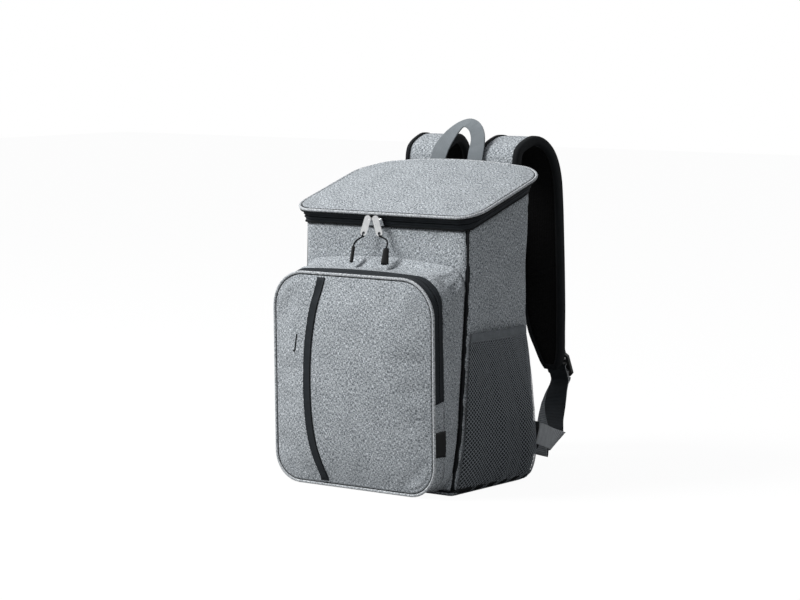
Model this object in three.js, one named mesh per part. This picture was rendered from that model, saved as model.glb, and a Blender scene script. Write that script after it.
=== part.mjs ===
import * as THREE from 'three';

// A cooler backpack with padded walls, standing on its base with its front towards -Y.
// Millimetres, +Z up. The origin is the middle of the base, on the floor.

// Body and lid
const bodyWidthTop = 280;
const bodyWidthBase = 274;
const bodyDepthTop = 166;
const bodyDepthBase = 197;
const bodySideBulge = 2;
const frontCornerRadius = 8;
const backCornerRadius = 38;
const lidFrontHeight = 377.5;
const lidBackHeight = 429;
const lidBackArch = 9;
const lidDome = 5;
const lidThickness = 5;
const lidSideOverhang = 13;
const lidFrontOverhang = 9;
const lidBackInset = 1;
const lidFrontRadius = 30;
const lidBackRadius = 40;
const lidPipingRadius = 2.1;
const wallThickness = 5;
const baseThickness = 6;
const seamPipingRadius = 1.6;
const zipBandHeight = 19;

// Zips, webbing and cloth
const tapeThickness = 2;
const tapeGap = 0.6;
const coilWidth = 5;
const coilThickness = 1.4;
const fabricThickness = 1.6;
const pieceGap = 0.4;
const webbingThickness = 1.6;

// Front pocket
const pocketWidth = 265;
const pocketHeight = lidFrontHeight - 88;
const pocketTopDepth = 72.5;
const pocketBaseDepth = 37.5;
const pocketFootClearance = 5;
const pocketTopRadius = 48;
const pocketBaseRadius = 38;
const pocketBulge = 15;
const pocketPanelThickness = 4;
const pocketZipWidth = 20;
const pocketSeamHeight = lidFrontHeight - 75.5;
const pocketSeamCrown = 11;
const pocketSeamRadius = 24;
const pocketPipingRadius = 2;
const gussetSag = 5;
const zipEndHeightRight = 126;
const zipEndHeightLeft = 46;
const stripWidth = 14;
const stripThickness = 1.2;

// Side net pockets
const netHeight = 217;
const netBulge = 19;
const netThickness = 1.4;
const netEdgeInset = 10;
const netFoldDepth = 1.6;
const netFolds = 3.5;
const elasticHeight = 11;
const elasticThickness = 2;

// Shoulder straps, ladder locks and carry handle
const strapSpacing = 128;
const strapWidth = 65;
const strapThickness = 12;
const strapCoverThickness = 1.3;
const strapBindingThickness = 1.3;
const strapReach = 105.5;
const strapTopHeight = 470.5;
const strapEndHeight = 141;
const strapSpread = 18;
const webbingWidth = 30;
const lockThickness = 5;
const lockTilt = 25;
const lockFrameSide = 4.5;
const handleWidth = 25;
const handleSpacing = 65;
const handleTopHeight = 492;
const handleLean = 25;

// Label tag and zip pulls
const tagWidth = 20;
const tagHeight = 32;
const tagThickness = 1;
const tagLowHeight = 57;
const pullWidth = 7;
const pullLength = 23.5;
const pullThickness = 1.6;
const cordRadius = 1.2;
const gripLength = 24;
const gripWidthTop = 7;
const gripWidthEnd = 10;
const gripThickness = 5;

const backY = bodyDepthBase / 2;
const frontTopY = backY - bodyDepthTop;
const lidSlope = (lidBackHeight - lidFrontHeight) / bodyDepthTop;

const fabricGrey = { color: 0x8b8e91, roughness: 0.95, metalness: 0 };
const pipingGrey = { color: 0x94979a, roughness: 0.9, metalness: 0 };
const blackTape = { color: 0x17181a, roughness: 0.85, metalness: 0 };
const blackPlastic = { color: 0x101113, roughness: 0.5, metalness: 0 };
const netGrey = { color: 0x55585b, roughness: 0.9, metalness: 0 };
const webbingGrey = { color: 0x63666a, roughness: 0.9, metalness: 0 };
const webbingBlack = { color: 0x1d1f21, roughness: 0.9, metalness: 0 };
const silver = { color: 0xd7d9dc, roughness: 0.25, metalness: 0.9 };

const model = new THREE.Group();

function vec(x, y, z) {
  return new THREE.Vector3(x, y, z);
}

function lerp(a, b, share) {
  return a + (b - a) * share;
}

function addPiece(name, geometry, look) {
  const mesh = new THREE.Mesh(geometry, new THREE.MeshStandardMaterial(look));
  mesh.name = name;
  model.add(mesh);
  return mesh;
}

// A smooth value read from a table's column, by cubic Hermite steps between its rows
function readTable(table, keyName, valueName, key) {
  const last = table.length - 1;
  const at = Math.min(Math.max(key, table[0][keyName]), table[last][keyName]);
  let row = 0;
  while (row < last - 1 && at > table[row + 1][keyName]) {
    row += 1;
  }
  const slope = (index) => {
    const low = table[Math.max(index - 1, 0)];
    const high = table[Math.min(index + 1, last)];
    return (high[valueName] - low[valueName]) / (high[keyName] - low[keyName]);
  };
  const span = table[row + 1][keyName] - table[row][keyName];
  const s = (at - table[row][keyName]) / span;
  const startWeight = (1 + 2 * s) * (1 - s) * (1 - s);
  const endWeight = s * s * (3 - 2 * s);
  return startWeight * table[row][valueName] + endWeight * table[row + 1][valueName]
    + s * (1 - s) * (1 - s) * span * slope(row) - s * s * (1 - s) * span * slope(row + 1);
}

// Closed bodies from shared points: outward faces are settled by the sign of the volume
function closedBody(points, triangles) {
  let volume = 0;
  for (const [a, b, c] of triangles) {
    volume += points[a].dot(points[b].clone().cross(points[c]));
  }
  const order = volume > 0 ? [0, 1, 2] : [0, 2, 1];
  const geometry = new THREE.BufferGeometry();
  geometry.setAttribute('position', new THREE.Float32BufferAttribute(
    points.flatMap((p) => [p.x, p.y, p.z]), 3));
  geometry.setIndex(triangles.flatMap((corners) => order.map((k) => corners[k])));
  geometry.computeVertexNormals();
  return geometry;
}

// Normals of a grid of points, turned so that the middle one faces the given point
function gridNormals(grid, wraps, faces) {
  const rows = grid.length;
  const columns = grid[0].length;
  const rowAt = (i) => (wraps ? (i + rows) % rows : Math.min(Math.max(i, 0), rows - 1));
  const columnAt = (j) => Math.min(Math.max(j, 0), columns - 1);
  const normals = grid.map((line, i) => line.map((point, j) => {
    const along = grid[rowAt(i + 1)][j].clone().sub(grid[rowAt(i - 1)][j]);
    const across = grid[i][columnAt(j + 1)].clone().sub(grid[i][columnAt(j - 1)]);
    return along.cross(across).normalize();
  }));
  const middleRow = Math.floor(rows / 2);
  const middleColumn = Math.floor(columns / 2);
  const wanted = faces.clone().sub(grid[middleRow][middleColumn]);
  const sign = wanted.dot(normals[middleRow][middleColumn]) < 0 ? -1 : 1;
  return normals.map((line) => line.map((normal) => normal.multiplyScalar(sign)));
}

// A closed body between two grids of points, open at its ends or joined round in a loop
function shell(near, far, wraps = false) {
  const rows = near.length;
  const columns = near[0].length;
  const points = near.flat().concat(far.flat());
  const index = (i, j, layer) => ((i % rows) * columns + j) + layer * rows * columns;
  const triangles = [];
  const quad = (a, b, c, d) => triangles.push([a, b, c], [a, c, d]);
  const steps = wraps ? rows : rows - 1;
  const end = columns - 1;
  for (let i = 0; i < steps; i += 1) {
    for (let j = 0; j < end; j += 1) {
      quad(index(i, j, 0), index(i + 1, j, 0), index(i + 1, j + 1, 0), index(i, j + 1, 0));
      quad(index(i, j, 1), index(i, j + 1, 1), index(i + 1, j + 1, 1), index(i + 1, j, 1));
    }
    quad(index(i, 0, 0), index(i, 0, 1), index(i + 1, 0, 1), index(i + 1, 0, 0));
    quad(index(i, end, 0), index(i + 1, end, 0), index(i + 1, end, 1), index(i, end, 1));
  }
  if (!wraps) {
    for (let j = 0; j < end; j += 1) {
      const last = rows - 1;
      quad(index(0, j, 0), index(0, j + 1, 0), index(0, j + 1, 1), index(0, j, 1));
      quad(index(last, j, 0), index(last, j, 1), index(last, j + 1, 1), index(last, j + 1, 0));
    }
  }
  return closedBody(points, triangles);
}

// A cloth sheet on a grid of points, from one offset to another along normals facing a point
function sheet(grid, nearOffset, farOffset, faces, wraps = false) {
  const normals = gridNormals(grid, wraps, faces);
  const layer = (offset) => grid.map((line, i) => line.map(
    (point, j) => point.clone().addScaledVector(normals[i][j], offset)));
  return shell(layer(nearOffset), layer(farOffset), wraps);
}

// A body lofted through rings of equal count, capped at both ends or joined in a loop
function loft(rings, loops = false) {
  const count = rings[0].length;
  const points = rings.flat();
  const triangles = [];
  const steps = loops ? rings.length : rings.length - 1;
  for (let i = 0; i < steps; i += 1) {
    const next = (i + 1) % rings.length;
    for (let k = 0; k < count; k += 1) {
      const turn = (k + 1) % count;
      triangles.push([i * count + k, next * count + k, next * count + turn]);
      triangles.push([i * count + k, next * count + turn, i * count + turn]);
    }
  }
  if (!loops) {
    const last = rings.length - 1;
    const centre = (ring) => ring.reduce((sum, p) => sum.add(p), vec(0, 0, 0)).divideScalar(count);
    points.push(centre(rings[0]), centre(rings[last]));
    for (let k = 0; k < count; k += 1) {
      const turn = (k + 1) % count;
      triangles.push([points.length - 2, k, turn]);
      triangles.push([points.length - 1, last * count + turn, last * count + k]);
    }
  }
  return closedBody(points, triangles);
}

// A round piping along points, closed on itself or with two flat ends
function piping(path, radius, sides, loops, up) {
  const rings = path.map((point, i) => {
    const before = path[loops ? (i + path.length - 1) % path.length : Math.max(i - 1, 0)];
    const after = path[loops ? (i + 1) % path.length : Math.min(i + 1, path.length - 1)];
    const along = after.clone().sub(before).normalize();
    const first = along.clone().cross(up).normalize();
    const second = along.clone().cross(first);
    return Array.from({ length: sides }, (_, k) => {
      const angle = (2 * Math.PI * (k + 0.5)) / sides;
      return point.clone().addScaledVector(first, radius * Math.cos(angle))
        .addScaledVector(second, radius * Math.sin(angle));
    });
  });
  return loft(rings, loops);
}

// A rounded rectangle, symmetric about its first axis's zero. Its nine parts are numbered from
// the middle of the low side: half of it, corner, side, corner, high side, corner, side, corner,
// and the other half. A place on it is a part's number plus a share of that part.
function loopPoint(loop, place) {
  const at = ((place % 9) + 9) % 9;
  const part = Math.floor(at);
  const share = at - part;
  const { half, low, high, lowRadius, highRadius } = loop;
  const lowFlat = half - lowRadius;
  const highFlat = half - highRadius;
  const corner = (side, centreHeight, radius, angle) => [
    side * (half - radius + radius * Math.cos(angle)), centreHeight + radius * Math.sin(angle)];
  const quarter = Math.PI / 2;
  switch (part) {
    case 0: return [lowFlat * share, low];
    case 1: return corner(1, low + lowRadius, lowRadius, -quarter * (1 - share));
    case 2: return [half, lerp(low + lowRadius, high - highRadius, share)];
    case 3: return corner(1, high - highRadius, highRadius, quarter * share);
    case 4: return [lerp(highFlat, -highFlat, share), high];
    case 5: return corner(-1, high - highRadius, highRadius, quarter * (1 - share));
    case 6: return [-half, lerp(high - highRadius, low + lowRadius, share)];
    case 7: return corner(-1, low + lowRadius, lowRadius, -quarter * share);
    default: return [-lowFlat * (1 - share), low];
  }
}

const partSteps = [2, 4, 4, 5, 6, 5, 4, 4, 2];

// Places from one to another, with steps that follow each part's shape
function stations(from, to) {
  const places = [from];
  for (let part = Math.floor(from); part < to; part += 1) {
    const steps = partSteps[((part % 9) + 9) % 9];
    for (let k = 0; k < steps; k += 1) {
      const place = part + k / steps;
      if (place > from + 0.02 && place < to - 0.02) {
        places.push(place);
      }
    }
  }
  places.push(to);
  return places;
}

function loopStations() {
  return stations(0, 9).slice(0, -1);
}

// The front leans: near the base it runs out to the full depth. Shares of the body's height
// and of the difference between base and top depth.
const frontLean = [
  { height: 0.00, out: 1.00 },
  { height: 0.05, out: 0.90 },
  { height: 0.20, out: 0.54 },
  { height: 0.33, out: 0.42 },
  { height: 0.52, out: 0.25 },
  { height: 0.70, out: 0.08 },
  { height: 0.85, out: 0.00 },
  { height: 1.00, out: 0.00 },
];

function frontY(z) {
  const out = readTable(frontLean, 'height', 'out', z / lidFrontHeight);
  return frontTopY - (bodyDepthBase - bodyDepthTop) * out;
}

function halfWidth(z) {
  const share = Math.min(z / lidFrontHeight, 1);
  const bulge = bodySideBulge * Math.sin(Math.PI * share);
  return lerp(bodyWidthBase, bodyWidthTop, share) / 2 + bulge;
}

function bodyLoop(z, inset = 0) {
  return {
    half: halfWidth(z) - inset,
    low: frontY(z) + inset,
    high: backY - inset,
    lowRadius: Math.max(frontCornerRadius - inset, 0.5),
    highRadius: Math.max(backCornerRadius - inset, 0.5),
  };
}

// Top of the lid: it rises to the back, arched across there, with a slight dome
function lidTop(x, y) {
  const back = Math.min(Math.max((y - frontTopY) / bodyDepthTop, 0), 1);
  const across = 1 - Math.min(Math.abs(x) / (bodyWidthTop / 2), 1) ** 2;
  const dome = lidDome * 4 * back * (1 - back) * across;
  return lidFrontHeight + lidSlope * (y - frontTopY) + lidBackArch * back * back * across + dome;
}

function rimHeight(place) {
  const [x, y] = loopPoint(bodyLoop(lidFrontHeight), place);
  return lidTop(x, y) - lidThickness - zipBandHeight;
}

// A point of the body's outer face, at a place on its outline and a share of its height
function wallPoint(place, share, inset = 0) {
  const z = lerp(baseThickness + pieceGap, rimHeight(place), share);
  const [x, y] = loopPoint(bodyLoop(z, inset), place);
  return vec(x, y, z);
}

const wallShares = [0, 0.04, 0.12, 0.2, 0.3, 0.42, 0.55, 0.7, 0.85, 1];
const cornerSeam = 1.5;
const cornerSeamGap = 0.045;
const backSeamGap = 0.01;

function wall(name, from, to) {
  const layer = (inset) => stations(from, to).map(
    (place) => wallShares.map((share) => wallPoint(place, share, inset)));
  addPiece(name, shell(layer(0), layer(wallThickness)), fabricGrey);
}

wall('front_panel', -cornerSeam + cornerSeamGap, cornerSeam - cornerSeamGap);
wall('side_panel_right', cornerSeam + cornerSeamGap, 4 - backSeamGap);
wall('back_panel', 4, 5);
wall('side_panel_left', 5 + backSeamGap, 9 - cornerSeam - cornerSeamGap);

// Base: a flat padded slab with a rounded lower edge
const baseRows = [
  { inset: 70, height: 0 },
  { inset: 3, height: 0 },
  { inset: 0.8, height: 0.14 },
  { inset: 0, height: 0.5 },
  { inset: 0, height: 1 },
  { inset: 70, height: 1 },
];

function insetLoop(loop, inset) {
  return {
    half: loop.half - inset,
    low: loop.low + inset,
    high: loop.high - inset,
    lowRadius: Math.max(loop.lowRadius - inset, 0.5),
    highRadius: Math.max(loop.highRadius - inset, 0.5),
  };
}

addPiece('base_panel', loft(baseRows.map((row) => loopStations().map((place) => {
  const [x, y] = loopPoint(insetLoop(bodyLoop(0), row.inset), place);
  return vec(x, y, row.height * baseThickness);
}))), fabricGrey);

// Black piping in the seam at both front corners, following the leaning edge
function seamPiping(name, place) {
  const outward = -(seamPipingRadius + pieceGap);
  const path = wallShares.map((share) => wallPoint(place, share, outward));
  addPiece(name, piping(path, seamPipingRadius, 6, false, vec(0, 1, 0)), blackTape);
}

seamPiping('seam_piping_right', cornerSeam);
seamPiping('seam_piping_left', 9 - cornerSeam);

// Lid: padded slab over the body's outline, with a piping round its edge
const lidLoop = {
  half: bodyWidthTop / 2 + lidSideOverhang,
  low: frontTopY - lidFrontOverhang,
  high: backY - lidBackInset,
  lowRadius: lidFrontRadius,
  highRadius: lidBackRadius,
};
const lidRows = [
  { size: 0.15, drop: 0 },
  { size: 0.45, drop: 0 },
  { size: 0.75, drop: 0 },
  { size: 0.94, drop: 0 },
  { size: 1.00, drop: 0.3 },
  { size: 1.00, drop: 0.75 },
  { size: 0.97, drop: 1 },
  { size: 0.85, drop: 1 },
  { size: 0.55, drop: 1 },
  { size: 0.15, drop: 1 },
];
const lidMiddleY = (lidLoop.low + lidLoop.high) / 2;

addPiece('lid_panel', loft(lidRows.map((row) => loopStations().map((place) => {
  const [edgeX, edgeY] = loopPoint(lidLoop, place);
  const x = edgeX * row.size;
  const y = lerp(lidMiddleY, edgeY, row.size);
  return vec(x, y, lidTop(x, y) - row.drop * lidThickness);
}))), fabricGrey);

const lidPipingLoop = insetLoop(lidLoop, -(lidPipingRadius + pieceGap));
addPiece('lid_piping', piping(loopStations().map((place) => {
  const [x, y] = loopPoint(lidPipingLoop, place);
  return vec(x, y, lidTop(x, y) - lidThickness / 2);
}), lidPipingRadius, 6, true, vec(0, 0, 1)), pipingGrey);

// Lid zip: two tapes one over the other, the coil over their split, and a cloth hinge behind.
// The band flares out from the body's rim to the wider lid.
const zipTurn = 3.5;
const lidSeatGap = 0.9;
const bandLidInset = 2;
const tapeHeight = (zipBandHeight - tapeGap - pieceGap - lidSeatGap) / 2;
const upperTapeTop = zipBandHeight - lidSeatGap;

function bandPoint(place, height, inset) {
  const [rimX, rimY] = loopPoint(bodyLoop(lidFrontHeight, inset), place);
  const [lidX, lidY] = loopPoint(insetLoop(lidLoop, bandLidInset + inset), place);
  const rim = vec(rimX, rimY, rimHeight(place));
  const lid = vec(lidX, lidY, lidTop(lidX, lidY) - lidThickness - lidSeatGap);
  return rim.lerp(lid, height / upperTapeTop);
}

function band(name, from, to, low, high, near, far, look) {
  const layer = (inset) => stations(from, to).map(
    (place) => [bandPoint(place, low, inset), bandPoint(place, high, inset)]);
  addPiece(name, shell(layer(near), layer(far)), look);
}

const lowerTapeTop = pieceGap + tapeHeight;
band('body_zip_tape', -zipTurn, zipTurn, pieceGap, lowerTapeTop, 0, tapeThickness, blackTape);
band('lid_zip_tape', -zipTurn, zipTurn, upperTapeTop - tapeHeight, upperTapeTop, 0, tapeThickness,
  blackTape);
const splitHeight = lowerTapeTop + tapeGap / 2;
band('lid_zip_coil', -zipTurn, zipTurn, splitHeight - coilWidth / 2, splitHeight + coilWidth / 2,
  -pieceGap - coilThickness, -pieceGap, blackTape);
band('lid_hinge', zipTurn + backSeamGap, 9 - zipTurn - backSeamGap, pieceGap, upperTapeTop, 0,
  tapeThickness, fabricGrey);

// Front pocket: the face is a rounded panel that leans a little and bulges in the middle
const pocketLoop = {
  half: pocketWidth / 2,
  low: pocketFootClearance,
  high: pocketHeight,
  lowRadius: pocketBaseRadius,
  highRadius: pocketTopRadius,
};
const pocketMiddleZ = (pocketLoop.low + pocketLoop.high) / 2;
const pocketBaseFaceY = frontY(0) - pocketBaseDepth;
const pocketTopFaceY = frontY(pocketHeight) - pocketTopDepth;

function pocketFaceY(x, z) {
  const plane = lerp(pocketBaseFaceY, pocketTopFaceY, z / pocketHeight);
  const across = 1 - Math.min(Math.abs(x) / pocketLoop.half, 1) ** 2.5;
  const rise = Math.abs(z - pocketMiddleZ) / (pocketLoop.high - pocketMiddleZ);
  const upright = 1 - Math.min(rise, 1) ** 2.5;
  return plane - pocketBulge * across * upright;
}

const panelRows = [
  { size: 0.12, back: 0 },
  { size: 0.35, back: 0 },
  { size: 0.60, back: 0 },
  { size: 0.82, back: 0 },
  { size: 0.97, back: 0 },
  { size: 1.00, back: 0.25 },
  { size: 1.00, back: 1 },
  { size: 0.82, back: 1 },
  { size: 0.50, back: 1 },
  { size: 0.12, back: 1 },
];

addPiece('pocket_panel', loft(panelRows.map((row) => loopStations().map((place) => {
  const [edgeX, edgeZ] = loopPoint(pocketLoop, place);
  const x = edgeX * row.size;
  const z = lerp(pocketMiddleZ, edgeZ, row.size);
  return vec(x, pocketFaceY(x, z) + row.back * pocketPanelThickness, z);
}))), fabricGrey);

const pocketPipingLoop = insetLoop(pocketLoop, -(pocketPipingRadius + pieceGap));
addPiece('pocket_piping', piping(loopStations().map((place) => {
  const [x, z] = loopPoint(pocketPipingLoop, place);
  const [faceX, faceZ] = loopPoint(pocketLoop, place);
  return vec(x, pocketFaceY(faceX, faceZ) + pocketPipingRadius / 2, z);
}), pocketPipingRadius, 6, true, vec(0, 1, 0)), pipingGrey);

// Pocket gusset: cloth from the panel's edge back to a seam on the body's front
const seamLoop = {
  half: bodyWidthBase / 2 - 2 * seamPipingRadius - pieceGap,
  low: pocketFootClearance - 2,
  high: pocketSeamHeight,
  lowRadius: pocketBaseRadius - 4,
  highRadius: pocketSeamRadius,
};
const seamClearance = 1.6;

function seamPoint(place) {
  const [loopX, loopZ] = loopPoint(seamLoop, place);
  const crown = pocketSeamCrown * (1 - (loopX / seamLoop.half) ** 2);
  const z = loopZ + crown * Math.max(loopZ / seamLoop.high, 0) ** 6;
  return vec(loopX * (halfWidth(z) / halfWidth(0)), frontY(z) - seamClearance, z);
}

function gussetPoint(place, back) {
  const [x, z] = loopPoint(pocketLoop, place);
  const front = vec(x, pocketFaceY(x, z), z);
  const seam = seamPoint(place);
  const depth = front.distanceTo(seam);
  return front.lerp(seam, Math.min(back / depth, 1));
}

function gussetDepth(place) {
  const [x, z] = loopPoint(pocketLoop, place);
  return vec(x, pocketFaceY(x, z), z).distanceTo(seamPoint(place));
}

// Behind the zip the cloth sags a little along the top
function gussetRearPoint(place, share) {
  const from = gussetRear + 2 * pieceGap;
  const point = gussetPoint(place, lerp(from, gussetDepth(place), share));
  const top = Math.max(point.z / pocketSeamHeight, 0) ** 12;
  point.z -= gussetSag * Math.sin(Math.PI * share) ** 2 * top;
  return point;
}

const pocketSide = pocketLoop.high - pocketTopRadius - pocketLoop.low - pocketBaseRadius;
const zipStart = 2 + (zipEndHeightRight - pocketLoop.low - pocketBaseRadius) / pocketSide;
const zipEnd = 6 + (pocketLoop.high - pocketTopRadius - zipEndHeightLeft) / pocketSide;
const gussetFront = pocketPanelThickness + 2 * pieceGap;
const gussetSplit = gussetFront + (pocketZipWidth - tapeGap) / 2;
const gussetRear = gussetFront + pocketZipWidth;
const pocketMiddle = vec(0, frontY(pocketMiddleZ) - pocketBaseDepth / 2, pocketMiddleZ);
const zipEndGap = 0.004;

function gussetStrip(name, places, from, to, near, far, look, wraps = false) {
  const grid = places.map((place) => [gussetPoint(place, from), gussetPoint(place, to)]);
  addPiece(name, sheet(grid, near, far, pocketMiddle, wraps), look);
}

const zipPlaces = stations(zipStart, zipEnd);
gussetStrip('pocket_zip_tape_front', zipPlaces, gussetFront, gussetSplit, 0, tapeThickness, blackTape);
gussetStrip('pocket_zip_tape_rear', zipPlaces, gussetSplit + tapeGap, gussetRear, 0, tapeThickness,
  blackTape);
gussetStrip('pocket_zip_coil', zipPlaces, gussetSplit + (tapeGap - coilWidth) / 2,
  gussetSplit + (tapeGap + coilWidth) / 2, -pieceGap - coilThickness, -pieceGap, blackTape);
gussetStrip('pocket_gusset_lower', stations(zipEnd + zipEndGap - 9, zipStart - zipEndGap),
  gussetFront, gussetRear, 0, fabricThickness, fabricGrey);

addPiece('pocket_gusset_rear', sheet(loopStations().map(
  (place) => [0, 0.2, 0.4, 0.65, 1].map((share) => gussetRearPoint(place, share)),
), 0, fabricThickness, pocketMiddle, true), fabricGrey);

// Black zip strip set in the pocket's face, curved a little to the left. Shares of the panel's
// height and of its half width.
const stripRows = [
  { height: 0.035, across: -0.37 },
  { height: 0.20, across: -0.47 },
  { height: 0.40, across: -0.51 },
  { height: 0.62, across: -0.50 },
  { height: 0.80, across: -0.455 },
  { height: 0.965, across: -0.385 },
];

function facePoint(x, z, out) {
  return vec(x, pocketFaceY(x, z) - out, z);
}

const stripSteps = 14;
const stripGrid = Array.from({ length: stripSteps + 1 }, (_, k) => {
  const first = stripRows[0].height;
  const last = stripRows[stripRows.length - 1].height;
  const share = lerp(first, last, k / stripSteps);
  const x = readTable(stripRows, 'height', 'across', share) * pocketLoop.half;
  const z = lerp(pocketLoop.low, pocketLoop.high, share);
  return [facePoint(x - stripWidth / 2, z, 0), facePoint(x + stripWidth / 2, z, 0)];
});
addPiece('front_zip_strip', sheet(stripGrid, -pieceGap - stripThickness, -pieceGap, pocketMiddle),
  blackTape);

// Bare label tag on the right of the gusset
const tagPlace = (z) => 2 + (z - pocketLoop.low - pocketBaseRadius) / pocketSide;
const tagGrid = [tagLowHeight, tagLowHeight + tagHeight].map((z) => [
  gussetPoint(tagPlace(z), gussetFront), gussetPoint(tagPlace(z), gussetFront + tagWidth)]);
addPiece('label_tag', sheet(tagGrid, -pieceGap - tagThickness, -pieceGap, pocketMiddle), blackPlastic);

// Side net pockets: shares of the net's height and of its bulge
const netRows = [
  { height: 0.00, out: 0.00 },
  { height: 0.05, out: 0.62 },
  { height: 0.18, out: 1.00 },
  { height: 0.35, out: 0.86 },
  { height: 0.60, out: 0.58 },
  { height: 0.85, out: 0.42 },
  { height: 1.00, out: 0.44 },
];
const netFoot = 3;
const netBackY = backY - backCornerRadius + 4;

function netPoint(side, across, z) {
  const share = (z - netFoot) / (netHeight - netFoot);
  const bow = Math.sin(Math.PI * across) ** 0.6;
  const folds = netFoldDepth * Math.sin(2 * Math.PI * netFolds * across) * bow;
  const out = readTable(netRows, 'height', 'out', share) * (netBulge * bow + folds);
  const y = lerp(frontY(z) + netEdgeInset, netBackY, across);
  return vec(side * (halfWidth(z) + 2 * pieceGap + netThickness + Math.max(out, 0)), y, z);
}

const netAcross = Array.from({ length: 15 }, (_, k) => k / 14);
const netHeights = [0, 0.03, 0.07, 0.13, 0.2, 0.32, 0.46, 0.62, 0.8, 0.95];

function sidePocket(side, name) {
  const inside = vec(0, 0, netHeight / 2);
  const netTop = netHeight - elasticHeight - pieceGap;
  const netGrid = netAcross.map((across) => netHeights.map(
    (share) => netPoint(side, across, lerp(netFoot, netTop, share / netHeights[netHeights.length - 1]))));
  addPiece(`mesh_pocket_${name}`, sheet(netGrid, 0, netThickness, inside), netGrey);
  const elasticGrid = netAcross.map((across) => [netHeight - elasticHeight, netHeight].map(
    (z) => netPoint(side, across, z)));
  addPiece(`pocket_elastic_${name}`, sheet(elasticGrid, -elasticThickness + netThickness,
    netThickness, inside), webbingGrey);
}

sidePocket(1, 'right');
sidePocket(-1, 'left');

// Shoulder straps: padded bands that rise behind the back, turn over and hang clear of it.
// Shares of the strap's reach behind the back, of its rise from end to top, of its spread to
// the side and of its half width. The row's place is a share of the way along.
const strapRows = [
  { place: 0.00, reach: 0.006, rise: 0.689, spread: 0.00, width: 1.00 },
  { place: 0.02, reach: 0.029, rise: 0.727, spread: 0.00, width: 1.00 },
  { place: 0.04, reach: 0.062, rise: 0.795, spread: 0.00, width: 1.00 },
  { place: 0.06, reach: 0.086, rise: 0.862, spread: 0.00, width: 1.00 },
  { place: 0.09, reach: 0.105, rise: 0.921, spread: 0.00, width: 1.00 },
  { place: 0.13, reach: 0.170, rise: 0.958, spread: 0.02, width: 1.00 },
  { place: 0.18, reach: 0.340, rise: 0.987, spread: 0.06, width: 1.00 },
  { place: 0.23, reach: 0.520, rise: 1.000, spread: 0.14, width: 1.00 },
  { place: 0.28, reach: 0.700, rise: 0.985, spread: 0.30, width: 1.00 },
  { place: 0.33, reach: 0.850, rise: 0.945, spread: 0.48, width: 1.00 },
  { place: 0.38, reach: 0.945, rise: 0.880, spread: 0.65, width: 1.00 },
  { place: 0.44, reach: 0.980, rise: 0.790, spread: 0.82, width: 1.00 },
  { place: 0.60, reach: 0.995, rise: 0.540, spread: 0.98, width: 1.00 },
  { place: 0.78, reach: 0.998, rise: 0.270, spread: 1.10, width: 1.00 },
  { place: 0.86, reach: 1.000, rise: 0.150, spread: 1.34, width: 0.86 },
  { place: 0.92, reach: 1.000, rise: 0.075, spread: 1.66, width: 0.68 },
  { place: 0.97, reach: 1.000, rise: 0.022, spread: 1.83, width: 0.50 },
  { place: 1.00, reach: 1.000, rise: 0.000, spread: 1.83, width: 0.34 },
];

function strapMiddle(side, place) {
  const read = (column) => readTable(strapRows, 'place', column, place);
  return vec(
    side * (strapSpacing / 2 + strapSpread * read('spread')),
    backY + strapReach * read('reach'),
    lerp(strapEndHeight, strapTopHeight, read('rise')));
}

function strapFrame(side, place) {
  const step = 0.004;
  const before = strapMiddle(side, Math.max(place - step, 0));
  const after = strapMiddle(side, Math.min(place + step, 1));
  const along = after.sub(before);
  along.x = 0;
  along.normalize();
  const outward = vec(1, 0, 0).cross(along);
  const half = (strapWidth / 2) * readTable(strapRows, 'place', 'width', place);
  return { centre: strapMiddle(side, place), outward, half };
}

const strapPlaces = [0, 0.02, 0.04, 0.07, 0.1, 0.13, 0.16, 0.19, 0.22, 0.25, 0.28, 0.31, 0.34, 0.37, 0.41,
  0.46, 0.53, 0.62, 0.72, 0.8, 0.86, 0.9, 0.94, 0.97, 0.992];

function strapRing(side, place, inset, near, far) {
  const { centre, outward, half } = strapFrame(side, place);
  const reach = Math.max(half - inset, 1);
  const corner = (across, depth) => centre.clone().add(vec(across * reach, 0, 0))
    .addScaledVector(outward, -depth);
  return [corner(-1, near), corner(1, near), corner(1, far), corner(-1, far)];
}

function shoulderStrap(side, name) {
  const bindingInset = strapBindingThickness + pieceGap;
  addPiece(`strap_cover_${name}`, loft(strapPlaces.map((place) => strapRing(
    side, place, bindingInset, 0, strapCoverThickness))), fabricGrey);
  addPiece(`strap_pad_${name}`, loft(strapPlaces.map((place) => strapRing(
    side, place, bindingInset, strapCoverThickness + pieceGap, strapThickness))), blackTape);
  const edge = (place, across) => {
    const { centre, outward, half } = strapFrame(side, place);
    const rim = centre.clone().add(vec(across * (half - strapBindingThickness), 0, 0));
    return [rim.clone().addScaledVector(outward, 0.3), rim.addScaledVector(outward, -strapThickness - 0.3)];
  };
  const down = strapPlaces.map((place) => edge(place, 1));
  const up = strapPlaces.map((place) => edge(place, -1)).reverse();
  const tip = strapFrame(side, 1);
  const tipMiddle = tip.centre.clone().add(vec(0, 0, -strapBindingThickness - 1));
  const tipRow = [tipMiddle.clone().addScaledVector(tip.outward, 0.3),
    tipMiddle.clone().addScaledVector(tip.outward, -strapThickness - 0.3)];
  const grid = down.concat([tipRow], up);
  const outside = tip.centre.clone().add(vec(0, 0, -strapEndHeight));
  addPiece(`strap_binding_${name}`, sheet(grid, 0, strapBindingThickness, outside), webbingBlack);
}

shoulderStrap(1, 'right');
shoulderStrap(-1, 'left');

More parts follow.
